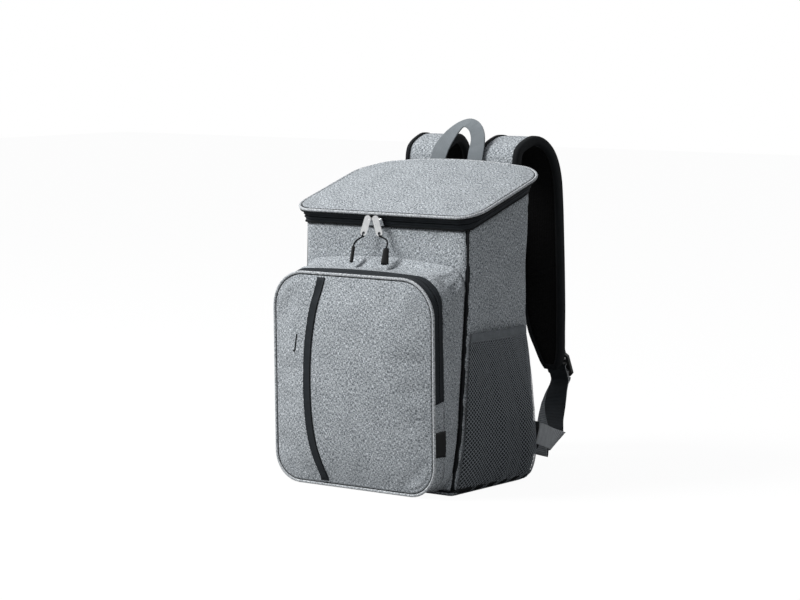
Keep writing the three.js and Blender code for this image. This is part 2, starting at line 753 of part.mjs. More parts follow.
// A flat band of webbing: rows of centre, half-width vector; its thickness is along the normal
function ribbon(rows, thickness) {
  const layer = (offset) => rows.map((row, i) => {
    const before = rows[Math.max(i - 1, 0)].centre;
    const after = rows[Math.min(i + 1, rows.length - 1)].centre;
    const along = after.clone().sub(before);
    const normal = along.cross(row.across).normalize();
    return [-1, 1].map((edge) => row.centre.clone().addScaledVector(row.across, edge)
      .addScaledVector(normal, offset));
  });
  return shell(layer(-thickness / 2), layer(thickness / 2));
}

// Ladder lock: a frame with three bars, tilted with its foot away from the back
const tilt = THREE.MathUtils.degToRad(lockTilt);
const lockUp = vec(0, -Math.sin(tilt), Math.cos(tilt));
const lockOut = vec(0, Math.cos(tilt), Math.sin(tilt));
const lockHalfWidth = webbingWidth / 2 + 1 + lockFrameSide;
const lockBars = [
  { slotLow: -11, slotHigh: -4.5 },
  { slotLow: 0.5, slotHigh: 7 },
  { slotLow: 11.5, slotHigh: 17 },
];
const lockFoot = -16;
const lockHead = 21;
const lockEyeHeight = strapEndHeight + 17;
const tipMiddleX = strapSpacing / 2 + strapSpread * strapRows[strapRows.length - 1].spread;
const lockEyeY = backY + strapReach + 2 * pieceGap + webbingThickness + lockThickness / 2 + 0.6;

function lockOrigin(side) {
  return vec(side * tipMiddleX, lockEyeY, lockEyeHeight).addScaledVector(lockUp, -(lockHead - 2));
}

function lockPoint(side, up, out) {
  return lockOrigin(side).addScaledVector(lockUp, up).addScaledVector(lockOut, out);
}

function ladderLock(side, name) {
  const outline = new THREE.Shape();
  const corner = 4;
  outline.moveTo(-lockHalfWidth + corner, lockFoot);
  outline.lineTo(lockHalfWidth - corner, lockFoot);
  outline.lineTo(lockHalfWidth, lockFoot + corner);
  outline.lineTo(lockHalfWidth, lockHead - corner);
  outline.lineTo(lockHalfWidth - corner, lockHead);
  outline.lineTo(-lockHalfWidth + corner, lockHead);
  outline.lineTo(-lockHalfWidth, lockHead - corner);
  outline.lineTo(-lockHalfWidth, lockFoot + corner);
  const slotHalf = webbingWidth / 2 + 1;
  for (const bar of lockBars) {
    const slot = new THREE.Path();
    slot.moveTo(-slotHalf, bar.slotLow);
    slot.lineTo(-slotHalf, bar.slotHigh);
    slot.lineTo(slotHalf, bar.slotHigh);
    slot.lineTo(slotHalf, bar.slotLow);
    outline.holes.push(slot);
  }
  const geometry = new THREE.ExtrudeGeometry(outline, { depth: lockThickness, bevelEnabled: false });
  geometry.translate(0, 0, -lockThickness / 2);
  const mesh = addPiece(`ladder_lock_${name}`, geometry, blackPlastic);
  mesh.rotation.x = Math.PI / 2 + tilt;
  mesh.position.copy(lockOrigin(side));
}

// Rows along a bent path: straight points and short round turns between them
function bentRows(points, across) {
  return points.map((centre) => ({ centre, across: across.clone() }));
}

function roundTurn(centre, first, second, radius, fromDegrees, toDegrees, steps) {
  return Array.from({ length: steps + 1 }, (_, k) => {
    const angle = THREE.MathUtils.degToRad(lerp(fromDegrees, toDegrees, k / steps));
    return centre.clone().addScaledVector(first, radius * Math.cos(angle))
      .addScaledVector(second, radius * Math.sin(angle));
  });
}

// Short loop of webbing from the strap's end through the lock's eye and back
function lockLoop(side, name) {
  const across = vec(webbingWidth / 2 - 1, 0, 0);
  const eye = lockPoint(side, (lockBars[2].slotHigh + lockHead) / 2, 0);
  const radius = lockThickness / 2 + 2 * pieceGap + webbingThickness / 2 + 0.5;
  const turn = roundTurn(eye, vec(0, 0, -1), vec(0, 1, 0), radius, -75, 90, 7);
  const faceY = backY + strapReach + pieceGap + webbingThickness / 2;
  const inner = [54, 37].map((rise) => vec(eye.x, faceY + 0.2, strapEndHeight + rise));
  const outer = [35, 54].map((rise) => vec(
    eye.x, faceY + webbingThickness + pieceGap + 0.6, strapEndHeight + rise));
  addPiece(`lock_loop_${name}`, ribbon(bentRows([...inner, ...turn, ...outer], across),
    webbingThickness), webbingBlack);
}

// Webbing from the anchor at the bag's lower corner, up behind the lock's bars, over the
// middle bar and down again as a free tail. It is folded over where it turns to the bag.
const foldAngle = THREE.MathUtils.degToRad(80);
const foldSlope = THREE.MathUtils.degToRad(36);
const foldHeight = 38;
const foldPlace = { x: bodyWidthBase / 2 - 20, y: backY + 83.5 };
const tailPlace = { x: bodyWidthBase / 2 - 48, y: backY + 84.5 };
const returnLength = 58;
const returnSpread = 13.5;

// Black wing sewn in the seam at the bag's lower back corner, which holds the webbing's end
const wingThickness = 2;
const wingRoot = { x: bodyWidthBase / 2 - 19, low: 10, high: 80 };
const wingTip = { x: bodyWidthBase / 2 - 16.2, y: backY + 31.5, low: 38, high: 72 };

function strapAnchor(side, name) {
  const cornerLoop = bodyLoop(wingRoot.high);
  const cornerX = wingRoot.x - (cornerLoop.half - backCornerRadius);
  const rootY = backY - backCornerRadius + Math.sqrt(backCornerRadius ** 2 - cornerX ** 2) + 1.2;
  const grid = Array.from({ length: 5 }, (_, k) => {
    const share = k / 4;
    const x = lerp(wingRoot.x, wingTip.x, share);
    const y = lerp(rootY, wingTip.y, share);
    return [vec(side * x, y, lerp(wingRoot.low, wingTip.low, share)),
      vec(side * x, y, lerp(wingRoot.high, wingTip.high, share))];
  });
  addPiece(`strap_anchor_${name}`, sheet(grid, 0, wingThickness, vec(0, wingTip.y, 50)), blackTape);
}

function strapWebbing(side, name) {
  const flat = vec(side * webbingWidth / 2, 0, 0);
  const inner = -(lockThickness / 2 + pieceGap + webbingThickness / 2);
  const mainLayer = inner - webbingThickness - pieceGap;
  const upperSlot = (lockBars[1].slotLow + lockBars[1].slotHigh) / 2;
  const lowerSlot = (lockBars[0].slotLow + lockBars[0].slotHigh) / 2;
  const place = (up, out) => lockPoint(side, up, out);
  const level = vec(side * Math.cos(foldAngle), Math.sin(foldAngle), 0);
  const fold = vec(side * foldPlace.x, foldPlace.y, foldHeight);
  const facing = vec(0, 0, 1).cross(level).multiplyScalar(side);
  const foldLine = level.clone().multiplyScalar(Math.cos(foldSlope)).add(vec(0, 0, Math.sin(foldSlope)));
  const foldHalf = foldLine.clone().multiplyScalar(webbingWidth / 2 / Math.cos(foldSlope));
  const foldOut = foldLine.clone().cross(facing).multiplyScalar(-side);
  const turnRadius = 1.5;
  const rows = [];
  const tail = vec(side * tailPlace.x, tailPlace.y, 0);
  rows.push({ centre: tail.clone().add(vec(0, 0, 14)), across: vec(side * 14, -5, 0) });
  rows.push({ centre: tail.clone().add(vec(0, 3, 40)), across: vec(side * 14, -5, 0) });
  rows.push({ centre: tail.clone().add(vec(-side, 23, 85)), across: vec(side * 14.6, -2.5, 0) });
  rows.push({ centre: place(lockFoot - 6, inner), across: flat.clone() });
  rows.push({ centre: place(lockFoot, inner), across: flat.clone() });
  rows.push({ centre: place(lowerSlot - 2.6, inner), across: flat.clone() });
  rows.push({ centre: place(lowerSlot - 0.6, inner + 0.9), across: flat.clone() });
  rows.push({ centre: place(lowerSlot + 0.1, 0), across: flat.clone() });
  rows.push({ centre: place(lowerSlot + 0.7, -inner - 1.0), across: flat.clone() });
  rows.push({ centre: place(lowerSlot + 2.6, -inner), across: flat.clone() });
  rows.push({ centre: place(upperSlot - 2.6, -inner), across: flat.clone() });
  rows.push({ centre: place(upperSlot - 0.6, -inner - 0.9), across: flat.clone() });
  rows.push({ centre: place(upperSlot, -inner - 3), across: flat.clone() });
  rows.push({ centre: place(upperSlot, mainLayer + 2.5), across: flat.clone() });
  rows.push({ centre: place(upperSlot - 0.8, mainLayer + 0.8), across: flat.clone() });
  rows.push({ centre: place(upperSlot - 2.8, mainLayer), across: flat.clone() });
  rows.push({ centre: place(lockFoot, mainLayer), across: flat.clone() });
  const start = place(lockFoot - 6, mainLayer - 2);
  const end = fold.clone().add(vec(0, 0, 16)).addScaledVector(facing, turnRadius);
  const twistSteps = 6;
  for (let k = 0; k <= twistSteps; k += 1) {
    const share = k / twistSteps;
    const angle = foldAngle * share * share * (3 - 2 * share);
    const centre = start.clone().lerp(end, share);
    centre.y -= 7 * Math.sin(Math.PI * share);
    rows.push({
      centre,
      across: vec(side * Math.cos(angle), Math.sin(angle), 0).multiplyScalar(webbingWidth / 2),
    });
  }
  for (const degrees of [180, 150, 90, 30, 0]) {
    const angle = THREE.MathUtils.degToRad(degrees);
    rows.push({
      centre: fold.clone().addScaledVector(facing, -turnRadius * Math.cos(angle))
        .addScaledVector(foldOut, turnRadius * Math.sin(angle)),
      across: foldHalf.clone(),
    });
  }
  const back = level.clone().multiplyScalar(-Math.cos(2 * foldSlope - Math.PI / 2))
    .add(vec(0, 0, Math.cos(2 * foldSlope)));
  const raised = level.clone().multiplyScalar(Math.cos(2 * foldSlope))
    .add(vec(0, 0, Math.cos(2 * foldSlope - Math.PI / 2))).multiplyScalar(webbingWidth / 2);
  for (const share of [0.25, 0.45, 0.65, 0.82, 1]) {
    const centre = fold.clone().addScaledVector(facing, -turnRadius)
      .addScaledVector(back, returnLength * share);
    centre.x += side * returnSpread * share * share * (3 - 2 * share);
    rows.push({ centre, across: raised.clone() });
  }
  return rows;
}

const lockNames = [[1, 'right'], [-1, 'left']];
for (const [side, name] of lockNames) {
  ladderLock(side, name);
  lockLoop(side, name);
  strapAnchor(side, name);
  addPiece(`strap_web_${name}`, ribbon(strapWebbing(side, name), webbingThickness), webbingBlack);
}

// Carry handle: a band whose legs lie flat on the back and which turns over at its top. Shares
// of half the legs' spacing, of the rise above the legs' feet, of the lean back and of the turn.
const handleRows = [
  { spread: 1.00, rise: 0.00, lean: 0.00, turn: 0 },
  { spread: 1.00, rise: 0.13, lean: 0.03, turn: 0 },
  { spread: 1.00, rise: 0.26, lean: 0.18, turn: 0 },
  { spread: 1.00, rise: 0.42, lean: 0.19, turn: 0 },
  { spread: 0.99, rise: 0.58, lean: 0.20, turn: 0.05 },
  { spread: 0.94, rise: 0.70, lean: 0.28, turn: 0.2 },
  { spread: 0.84, rise: 0.81, lean: 0.45, turn: 0.4 },
  { spread: 0.66, rise: 0.91, lean: 0.68, turn: 0.65 },
  { spread: 0.42, rise: 0.97, lean: 0.88, turn: 0.85 },
  { spread: 0.20, rise: 0.995, lean: 0.97, turn: 0.96 },
];
const handleFoot = 383;
const handleCrownTilt = THREE.MathUtils.degToRad(37);

function handleHalf(side) {
  return handleRows.map((row) => ({
    centre: vec(
      side * (handleSpacing / 2) * row.spread,
      backY + pieceGap + webbingThickness / 2 + handleLean * row.lean,
      lerp(handleFoot, handleTopHeight, row.rise)),
    turn: row.turn,
  }));
}

const handleCrown = {
  centre: vec(0, backY + pieceGap + webbingThickness / 2 + handleLean, handleTopHeight),
  turn: 1,
};
const handlePath = [...handleHalf(1), handleCrown, ...handleHalf(-1).reverse()];
const handleBand = handlePath.map((row, i) => {
  const before = handlePath[Math.max(i - 1, 0)].centre;
  const after = handlePath[Math.min(i + 1, handlePath.length - 1)].centre;
  const along = after.clone().sub(before).normalize();
  const angle = lerp(0, Math.PI / 2 - handleCrownTilt, row.turn);
  const facing = vec(0, -Math.cos(angle), Math.sin(angle));
  const across = along.cross(facing).normalize().multiplyScalar(handleWidth / 2);
  return { centre: row.centre, across };
});
addPiece('carry_handle', ribbon(handleBand, webbingThickness), webbingGrey);

// Zip pulls: a slider on the coil, a metal tab with an eye, a cord and a moulded grip
const sliderWidth = 9;
const sliderHeight = 12;
const sliderThickness = 7.2;
const bandFoot = bandPoint(0, 0, 0);
const bandHead = bandPoint(0, upperTapeTop, 0);
const bandFlare = Math.atan2(bandFoot.y - bandHead.y, bandHead.z - bandFoot.z);
const sliderMiddle = bandPoint(0, splitHeight, 0)
  .addScaledVector(vec(0, -Math.cos(bandFlare), -Math.sin(bandFlare)),
    2 * pieceGap + coilThickness + sliderThickness / 2);
const sliderFrontY = sliderMiddle.y - Math.sin(bandFlare) * (sliderHeight / 2)
  - Math.cos(bandFlare) * (sliderThickness / 2);
const tabY = sliderFrontY - pieceGap;
const tabTopHeight = lidFrontHeight - 9;
const eyeRadius = 2;

function block(width, depth, height, x, y, z) {
  const geometry = new THREE.BoxGeometry(width, depth, height);
  geometry.translate(x, y, z);
  return geometry;
}

function pullTab(x, lean) {
  const outline = new THREE.Shape();
  const half = pullWidth / 2;
  const foot = half - pullLength;
  outline.absarc(0, 0, half, 0, Math.PI, false);
  outline.absarc(0, foot, half, Math.PI, 2 * Math.PI, false);
  const eye = new THREE.Path();
  eye.absarc(0, foot, eyeRadius, 0, 2 * Math.PI, false);
  outline.holes.push(eye);
  const geometry = new THREE.ExtrudeGeometry(outline, {
    depth: pullThickness, bevelEnabled: false, curveSegments: 8,
  });
  geometry.rotateX(Math.PI / 2);
  geometry.rotateY(THREE.MathUtils.degToRad(-lean));
  geometry.translate(x, tabY, tabTopHeight - half);
  return geometry;
}

function cordTube(points) {
  const route = new THREE.CatmullRomCurve3(points);
  const section = new THREE.Shape();
  const sides = 8;
  for (let k = 0; k < sides; k += 1) {
    const angle = (2 * Math.PI * k) / sides;
    const draw = k === 0 ? 'moveTo' : 'lineTo';
    section[draw](cordRadius * Math.cos(angle), cordRadius * Math.sin(angle));
  }
  return new THREE.ExtrudeGeometry(section, {
    steps: 5, extrudePath: route, bevelEnabled: false,
  });
}

function grip(top, end, across) {
  const along = end.clone().sub(top).normalize();
  const deep = along.clone().cross(across).normalize().multiplyScalar(gripThickness / 2);
  const rings = [0, 0.12, 0.5, 0.9, 1].map((share) => {
    const rounding = share === 0 || share === 1 ? 0.75 : 1;
    const half = (lerp(gripWidthTop, gripWidthEnd, share) / 2) * rounding;
    const centre = top.clone().addScaledVector(along, gripLength * share);
    const side = across.clone().multiplyScalar(half);
    const depth = deep.clone().multiplyScalar(rounding);
    const chamfer = 0.6;
    return [[-1, -chamfer], [-chamfer, -1], [chamfer, -1], [1, -chamfer], [1, chamfer],
      [chamfer, 1], [-chamfer, 1], [-1, chamfer]].map(([a, b]) => centre.clone()
      .addScaledVector(side, a).addScaledVector(depth, b));
  });
  return loft(rings);
}

// Where the middle of a tab's eye is
function eyePoint(x, lean) {
  const drop = pullLength - pullWidth / 2;
  const angle = THREE.MathUtils.degToRad(lean);
  return vec(x + drop * Math.sin(angle), tabY - pullThickness / 2,
    tabTopHeight - pullWidth / 2 - drop * Math.cos(angle));
}

// Cord routes from under each tab's eye to the grip, as steps from the middle of that eye
const pullSets = [
  {
    name: 'right', x: -1.5, lean: 13,
    cord: [[1.7, 0, -4.6], [8.2, -0.8, -6.3], [14.6, -2.3, -9.3], [16.4, -3.7, -14.5],
      [15.8, -4.8, -18.9]],
    gripEnd: [20.5, -15.4, -42.5], across: [0.8, 0.6, 0],
  },
  {
    name: 'left', x: -24.5, lean: 2,
    cord: [[-0.8, 0, -5.1], [-4.4, -0.9, -7.4], [-9.4, -2.9, -10.8], [-12.8, -4.1, -15.4],
      [-13.4, -4.9, -18.4]],
    gripEnd: [-9.7, -15.4, -42.0], across: [0.6, -0.8, 0],
  },
];
for (const set of pullSets) {
  const slider = block(sliderWidth, sliderThickness, sliderHeight, 0, 0, 0);
  slider.rotateX(bandFlare);
  slider.translate(set.x, sliderMiddle.y, sliderMiddle.z);
  addPiece(`zip_slider_${set.name}`, slider, silver);
  addPiece(`zip_pull_${set.name}`, pullTab(set.x, set.lean), silver);
  const eye = eyePoint(set.x, set.lean);
  const route = set.cord.map((step) => vec(...step).add(eye));
  addPiece(`pull_cord_${set.name}`, cordTube(route), webbingBlack);
  const cordEnd = route[route.length - 1];
  const gripEnd = vec(...set.gripEnd).add(eye);
  const gripStart = cordEnd.clone().addScaledVector(gripEnd.clone().sub(cordEnd).normalize(), pieceGap);
  addPiece(`pull_grip_${set.name}`, grip(gripStart, gripEnd, vec(...set.across)), blackPlastic);
}

// Pocket zip slider at the left end of its zip, with its tab hanging
const pocketSliderPoint = gussetPoint(zipEnd - 0.03, gussetSplit);
const pocketSliderX = pocketSliderPoint.x - pieceGap - coilThickness - pieceGap - sliderThickness / 2;
addPiece('pocket_zip_slider', block(sliderThickness, sliderWidth, sliderHeight, pocketSliderX,
  pocketSliderPoint.y, pocketSliderPoint.z), silver);

export default model;
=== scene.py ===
# %% [markdown]
# # A cooler backpack, dressed around its frame
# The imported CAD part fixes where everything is: padded walls, a sloping lid, a front pocket,
# two net pockets, straps and their fittings. This lesson puts real cloth, zips, webbing and
# metal over it. Everything is in metres in the row frame: the base stands on the floor at
# the origin, the front faces -Y and the straps hang at +Y.

# %% Load the frame
import math

import bmesh
import bpy
from mathutils import Euler, Matrix, Vector
from mathutils.bvhtree import BVHTree


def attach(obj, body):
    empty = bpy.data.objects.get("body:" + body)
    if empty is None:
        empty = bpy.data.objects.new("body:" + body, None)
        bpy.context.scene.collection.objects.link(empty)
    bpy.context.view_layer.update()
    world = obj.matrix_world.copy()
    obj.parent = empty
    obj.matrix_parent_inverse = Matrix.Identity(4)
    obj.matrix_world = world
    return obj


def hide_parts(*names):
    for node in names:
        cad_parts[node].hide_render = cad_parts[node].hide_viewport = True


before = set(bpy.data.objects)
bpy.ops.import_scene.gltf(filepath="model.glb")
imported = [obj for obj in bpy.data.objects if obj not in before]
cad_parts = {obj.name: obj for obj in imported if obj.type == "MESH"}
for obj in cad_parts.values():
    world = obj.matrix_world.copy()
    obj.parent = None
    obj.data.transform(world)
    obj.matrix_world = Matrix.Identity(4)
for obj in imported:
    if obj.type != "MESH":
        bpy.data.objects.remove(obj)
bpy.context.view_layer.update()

scene = bpy.context.scene
print("frame loaded:", len(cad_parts), "nodes")

# %% [markdown]
# ## The camera
# The photograph was taken with a long lens from the right, a little above the middle of the
# bag. A pinhole camera was fitted to the bag's edges, which gave these angles and distance.
# A long lens keeps upright edges nearly parallel, so a short one would look wrong.

# %% Camera
CAMERA_AZIMUTH = math.radians(37.0)
CAMERA_ELEVATION = math.radians(6.125)
CAMERA_DISTANCE = 3.606
CAMERA_TARGET = Vector((0, -0.0325, 0.2498))
CAMERA_LENS = 118.0

towards_camera = Vector((
    math.sin(CAMERA_AZIMUTH) * math.cos(CAMERA_ELEVATION),
    -math.cos(CAMERA_AZIMUTH) * math.cos(CAMERA_ELEVATION),
    math.sin(CAMERA_ELEVATION),
))
camera = bpy.data.objects.new("camera", bpy.data.cameras.new("camera"))
scene.collection.objects.link(camera)
camera.data.lens = CAMERA_LENS
camera.data.sensor_width = 36.0
camera.location = CAMERA_TARGET + CAMERA_DISTANCE * towards_camera
camera.rotation_euler = towards_camera.to_track_quat("Z", "Y").to_euler()
scene.camera = camera
print("camera at", [round(x, 3) for x in camera.location])

# %% [markdown]
# ## Real sizes
# Lengths are in millimetres here, as a bag maker writes them, and become metres where a
# point goes into a mesh. They are the same sizes as the CAD part's, because each piece of
# cloth has to lie exactly where its solid is.

# %% Sizes of body, lid and pocket
MM = 0.001
LID_FRONT, LID_RISE, LID_ARCH, LID_DOME = 377.5, 51.5, 9, 5
BODY_DEPTH_TOP, BODY_DEPTH_BASE = 166, 197
BACK_Y = BODY_DEPTH_BASE / 2
FRONT_TOP_Y = BACK_Y - BODY_DEPTH_TOP
BASE_THICKNESS, GAP = 6, 0.4
LID_THICKNESS, ZIP_BAND, ZIP_BAND_TOP = 5, 19, 18.1
LID_LOOP = dict(half=153, low=FRONT_TOP_Y - 9, high=BACK_Y - 1, low_radius=30, high_radius=40)
POCKET_LOOP = dict(half=132.5, low=5, high=289.5, low_radius=38, high_radius=48)
POCKET_MIDDLE_Z = (POCKET_LOOP["low"] + POCKET_LOOP["high"]) / 2
SEAM_LOOP = dict(half=133.4, low=3, high=302, low_radius=34, high_radius=24)
POCKET_BULGE = 15
GUSSET_FRONT, ZIP_WIDTH = 4.8, 20
GUSSET_REAR = GUSSET_FRONT + ZIP_WIDTH
SIDES = ((1, "right"), (-1, "left"))
FRONT_LEAN = dict(
    height=[0.00, 0.05, 0.20, 0.33, 0.52, 0.70, 0.85, 1.00],
    out=[1.00, 0.90, 0.54, 0.42, 0.25, 0.08, 0.00, 0.00],
)
print("body", BODY_DEPTH_TOP, "mm deep at the top and", BODY_DEPTH_BASE, "mm at the base")

# %% Reading a table and walking round a rounded outline
def lerp(a, b, share):
    return a + (b - a) * share


def steps(start, end, count):
    return [lerp(start, end, k / count) for k in range(count + 1)]


def read_table(table, key, value, at):
    """A smooth value from a table's column, by cubic Hermite steps between its rows."""
    keys, values = table[key], table[value]
    last = len(keys) - 1
    at = min(max(at, keys[0]), keys[last])
    row = 0
    while row < last - 1 and at > keys[row + 1]:
        row += 1

    def slope(index):
        low, high = max(index - 1, 0), min(index + 1, last)
        return (values[high] - values[low]) / (keys[high] - keys[low])

    span = keys[row + 1] - keys[row]
    s = (at - keys[row]) / span
    return (
        (1 + 2 * s) * (1 - s) ** 2 * values[row] + s * s * (3 - 2 * s) * values[row + 1]
        + s * (1 - s) ** 2 * span * slope(row) - s * s * (1 - s) * span * slope(row + 1)
    )


def loop_point(loop, place):
    """A point of a rounded rectangle. Its nine parts run from the middle of the low side."""
    at = place % 9
    part, share = int(at), at - int(at)
    half, low, high = loop["half"], loop["low"], loop["high"]
    low_radius, high_radius = loop["low_radius"], loop["high_radius"]

    def corner(side, centre, radius, quarter):
        angle = quarter * math.pi / 2
        return side * (half - radius + radius * math.cos(angle)), centre + radius * math.sin(angle)

    if part == 0:
        return (half - low_radius) * share, low
    if part == 1:
        return corner(1, low + low_radius, low_radius, share - 1)
    if part == 2:
        return half, lerp(low + low_radius, high - high_radius, share)
    if part == 3:
        return corner(1, high - high_radius, high_radius, share)
    if part == 4:
        return lerp(half - high_radius, high_radius - half, share), high
    if part == 5:
        return corner(-1, high - high_radius, high_radius, 1 - share)
    if part == 6:
        return -half, lerp(high - high_radius, low + low_radius, share)
    if part == 7:
        return corner(-1, low + low_radius, low_radius, -share)
    return (low_radius - half) * (1 - share), low


def inset(loop, by):
    return dict(
        half=loop["half"] - by, low=loop["low"] + by, high=loop["high"] - by,
        low_radius=max(loop["low_radius"] - by, 0.5), high_radius=max(loop["high_radius"] - by, 0.5),
    )


def even_places(loop, start, end, pitch):
    """Places along a loop, about pitch apart along its length."""
    fine = steps(start, end, 720)
    points = [loop_point(loop, place) for place in fine]
    run = [0]
    for before, after in zip(points, points[1:]):
        run.append(run[-1] + math.dist(before, after))
    count = max(round(run[-1] / pitch), 2)
    found, k = [], 0
    for step in range(count + 1):
        wanted = run[-1] * step / count
        while k < len(run) - 2 and run[k + 1] < wanted:
            k += 1
        found.append(lerp(fine[k], fine[k + 1], (wanted - run[k]) / (run[k + 1] - run[k])))
    return found


print("half way round the lid:", [round(x) for x in loop_point(LID_LOOP, 4.5)])

# %% The body's faces as functions
def front_y(z):
    out = read_table(FRONT_LEAN, "height", "out", z / LID_FRONT)
    return FRONT_TOP_Y - (BODY_DEPTH_BASE - BODY_DEPTH_TOP) * out


def half_width(z):
    share = min(z / LID_FRONT, 1)
    return lerp(274, 280, share) / 2 + 2 * math.sin(math.pi * share)


def body_loop(z, by=0):
    return inset(dict(half=half_width(z), low=front_y(z), high=BACK_Y, low_radius=8, high_radius=38), by)


def lid_top(x, y):
    back = min(max((y - FRONT_TOP_Y) / BODY_DEPTH_TOP, 0), 1)
    across = 1 - min(abs(x) / 140, 1) ** 2
    rise = LID_RISE * (y - FRONT_TOP_Y) / BODY_DEPTH_TOP
    return LID_FRONT + rise + LID_ARCH * back * back * across + 4 * LID_DOME * back * (1 - back) * across


def rim_height(place):
    return lid_top(*loop_point(body_loop(LID_FRONT), place)) - LID_THICKNESS - ZIP_BAND


def band_point(place, height, out=0):
    """The lid's zip band flares from the body's rim out to the wider lid."""
    rim_x, rim_y = loop_point(body_loop(LID_FRONT, -out), place)
    lid_x, lid_y = loop_point(inset(LID_LOOP, 2 - out), place)
    rim = Vector((rim_x, rim_y, rim_height(place)))
    return rim.lerp(Vector((lid_x, lid_y, lid_top(lid_x, lid_y) - 5.9)), height / ZIP_BAND_TOP)


def wall_point(place, share, by=0):
    z = lerp(BASE_THICKNESS + GAP, rim_height(place), share)
    return Vector((*loop_point(body_loop(z, by), place), z))


def pocket_face_y(x, z):
    base_y, top_y = front_y(0) - 37.5, front_y(POCKET_LOOP["high"]) - 72.5
    across = 1 - min(abs(x) / POCKET_LOOP["half"], 1) ** 2.5
    upright = 1 - min(abs(z - POCKET_MIDDLE_Z) / (POCKET_LOOP["high"] - POCKET_MIDDLE_Z), 1) ** 2.5
    return lerp(base_y, top_y, z / POCKET_LOOP["high"]) - POCKET_BULGE * across * upright


def face_point(x, z, out=0):
    return Vector((x, pocket_face_y(x, z) - out, z))


def seam_point(place):
    x, flat_z = loop_point(SEAM_LOOP, place)
    crown = 11 * (1 - (x / SEAM_LOOP["half"]) ** 2)
    z = flat_z + crown * max(flat_z / SEAM_LOOP["high"], 0) ** 6
    return Vector((x * half_width(z) / half_width(0), front_y(z) - 1.6, z))


def gusset_depth(place):
    return (face_point(*loop_point(POCKET_LOOP, place)) - seam_point(place)).length


def gusset_point(place, back):
    front = face_point(*loop_point(POCKET_LOOP, place))
    return front.lerp(seam_point(place), min(back / gusset_depth(place), 1))


print("gusset depth at the top:", round(gusset_depth(4.5)), "mm")

# %% [markdown]
# ## Cloth cut on a grid
# Most pieces of a bag are cut flat and sewn to shape. Here a grid plays the flat cut: every
# crossing point gets its place from a function of two numbers, across and along. The same
# grid keeps its flat size as a UV map called "cloth", in metres, so that every weave runs
# with the threads and at its real scale. Modelling each panel by hand would lose that.

# %% Cloth grids and finished pieces
def finish(name, shape, material, replaces=(), slot=None, smooth=True):
    """Makes a bmesh a piece of the bag that rides on the body."""
    data = bpy.data.meshes.new(name)
    shape.to_mesh(data)
    shape.free()
    piece = bpy.data.objects.new(f"{name}_dressed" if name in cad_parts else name, data)
    scene.collection.objects.link(piece)
    data.materials.append(material)
    data.polygons.foreach_set("use_smooth", [smooth] * len(data.polygons))
    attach(piece, "root")
    if replaces:
        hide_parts(*replaces)
    return piece


def runs(points):
    total = [0.0]
    for before, after in zip(points, points[1:]):
        total.append(total[-1] + (after - before).length)
    return total


def cloth_grid(across, along, place, inside, wraps=False):
    """A grid with its crossing points where place(a, b) says, facing away from inside."""
    shape = bmesh.new()
    flat = shape.loops.layers.uv.new("cloth")
    columns, rows = len(across) - 1, len(along) - 1
    bmesh.ops.create_grid(shape, x_segments=columns, y_segments=rows, size=0.5)
    points = [[Vector(place(a, b)) * MM for b in along] for a in across]
    us = runs([line[rows // 2] for line in points])
    vs = runs(points[columns // 2])
    spots = {}
    for vertex in shape.verts:
        i, j = round((vertex.co.x + 0.5) * columns), round((vertex.co.y + 0.5) * rows)
        spots[vertex] = (us[i], vs[j])
        vertex.co = points[i][j]
    for face in shape.faces:
        for corner in face.loops:
            corner[flat].uv = spots[corner.vert]
    shape.normal_update()
    shape.faces.ensure_lookup_table()
    centre = points[columns // 2][rows // 2]
    middle = min(shape.faces, key=lambda face: (face.calc_center_median() - centre).length)
    if middle.normal.dot(middle.calc_center_median() - Vector(inside) * MM) < 0:
        bmesh.ops.reverse_faces(shape, faces=shape.faces[:])
    if wraps:
        bmesh.ops.remove_doubles(shape, verts=shape.verts[:], dist=1e-6)
    return shape


def thicken(piece, thickness, offset=-1):
    """Gives cloth its thickness, inwards from the face that shows."""
    solid = piece.modifiers.new("thickness", "SOLIDIFY")
    solid.thickness = thickness * MM
    solid.offset = offset
    solid.use_even_offset = False
    return piece


def refine(piece):
    fine = piece.modifiers.new("fine", "SUBSURF")
    fine.levels = fine.render_levels = 1
    return piece


def tube(path, radius, sides=8, loops=False, up=(0, 0, 1)):
    """A round tube along points in mm, closed at its ends or looped."""
    count = len(path)

    def ring(i):
        if loops:
            along = path[(i + 1) % count] - path[(i - 1) % count]
        else:
            along = path[min(i + 1, count - 1)] - path[max(i - 1, 0)]
        first = along.normalized().cross(Vector(up)).normalized()
        return first, along.normalized().cross(first)

    frames = [ring(i) for i in range(count)]

    def place(i, turn):
        first, second = frames[i % count]
        angle = 2 * math.pi * turn
        return path[i % count] + first * radius * math.cos(angle) + second * radius * math.sin(angle)

    stations = list(range(count + 1 if loops else count))
    shape = cloth_grid(stations, steps(0, 1, sides), place, (0, 0, 0), wraps=True)
    if not loops:
        ends = [e for e in shape.edges if e.is_boundary]
        bmesh.ops.holes_fill(shape, edges=ends, sides=0)
    bmesh.ops.recalc_face_normals(shape, faces=shape.faces[:])
    return shape


def smooth_path(points, count):
    """A Catmull-Rom path through points, as evenly spaced as its parts allow."""
    points = [Vector(p) for p in points]
    found = []
    for k in range(count + 1):
        at = (len(points) - 1) * k / count
        i = min(int(at), len(points) - 2)
        s = at - i
        p0, p1 = points[max(i - 1, 0)], points[i]
        p2, p3 = points[i + 1], points[min(i + 2, len(points) - 1)]
        found.append(0.5 * (2 * p1 + (p2 - p0) * s + (2 * p0 - 5 * p1 + 4 * p2 - p3) * s * s
                            + (3 * p1 - p0 - 3 * p2 + p3) * s ** 3))
    return found


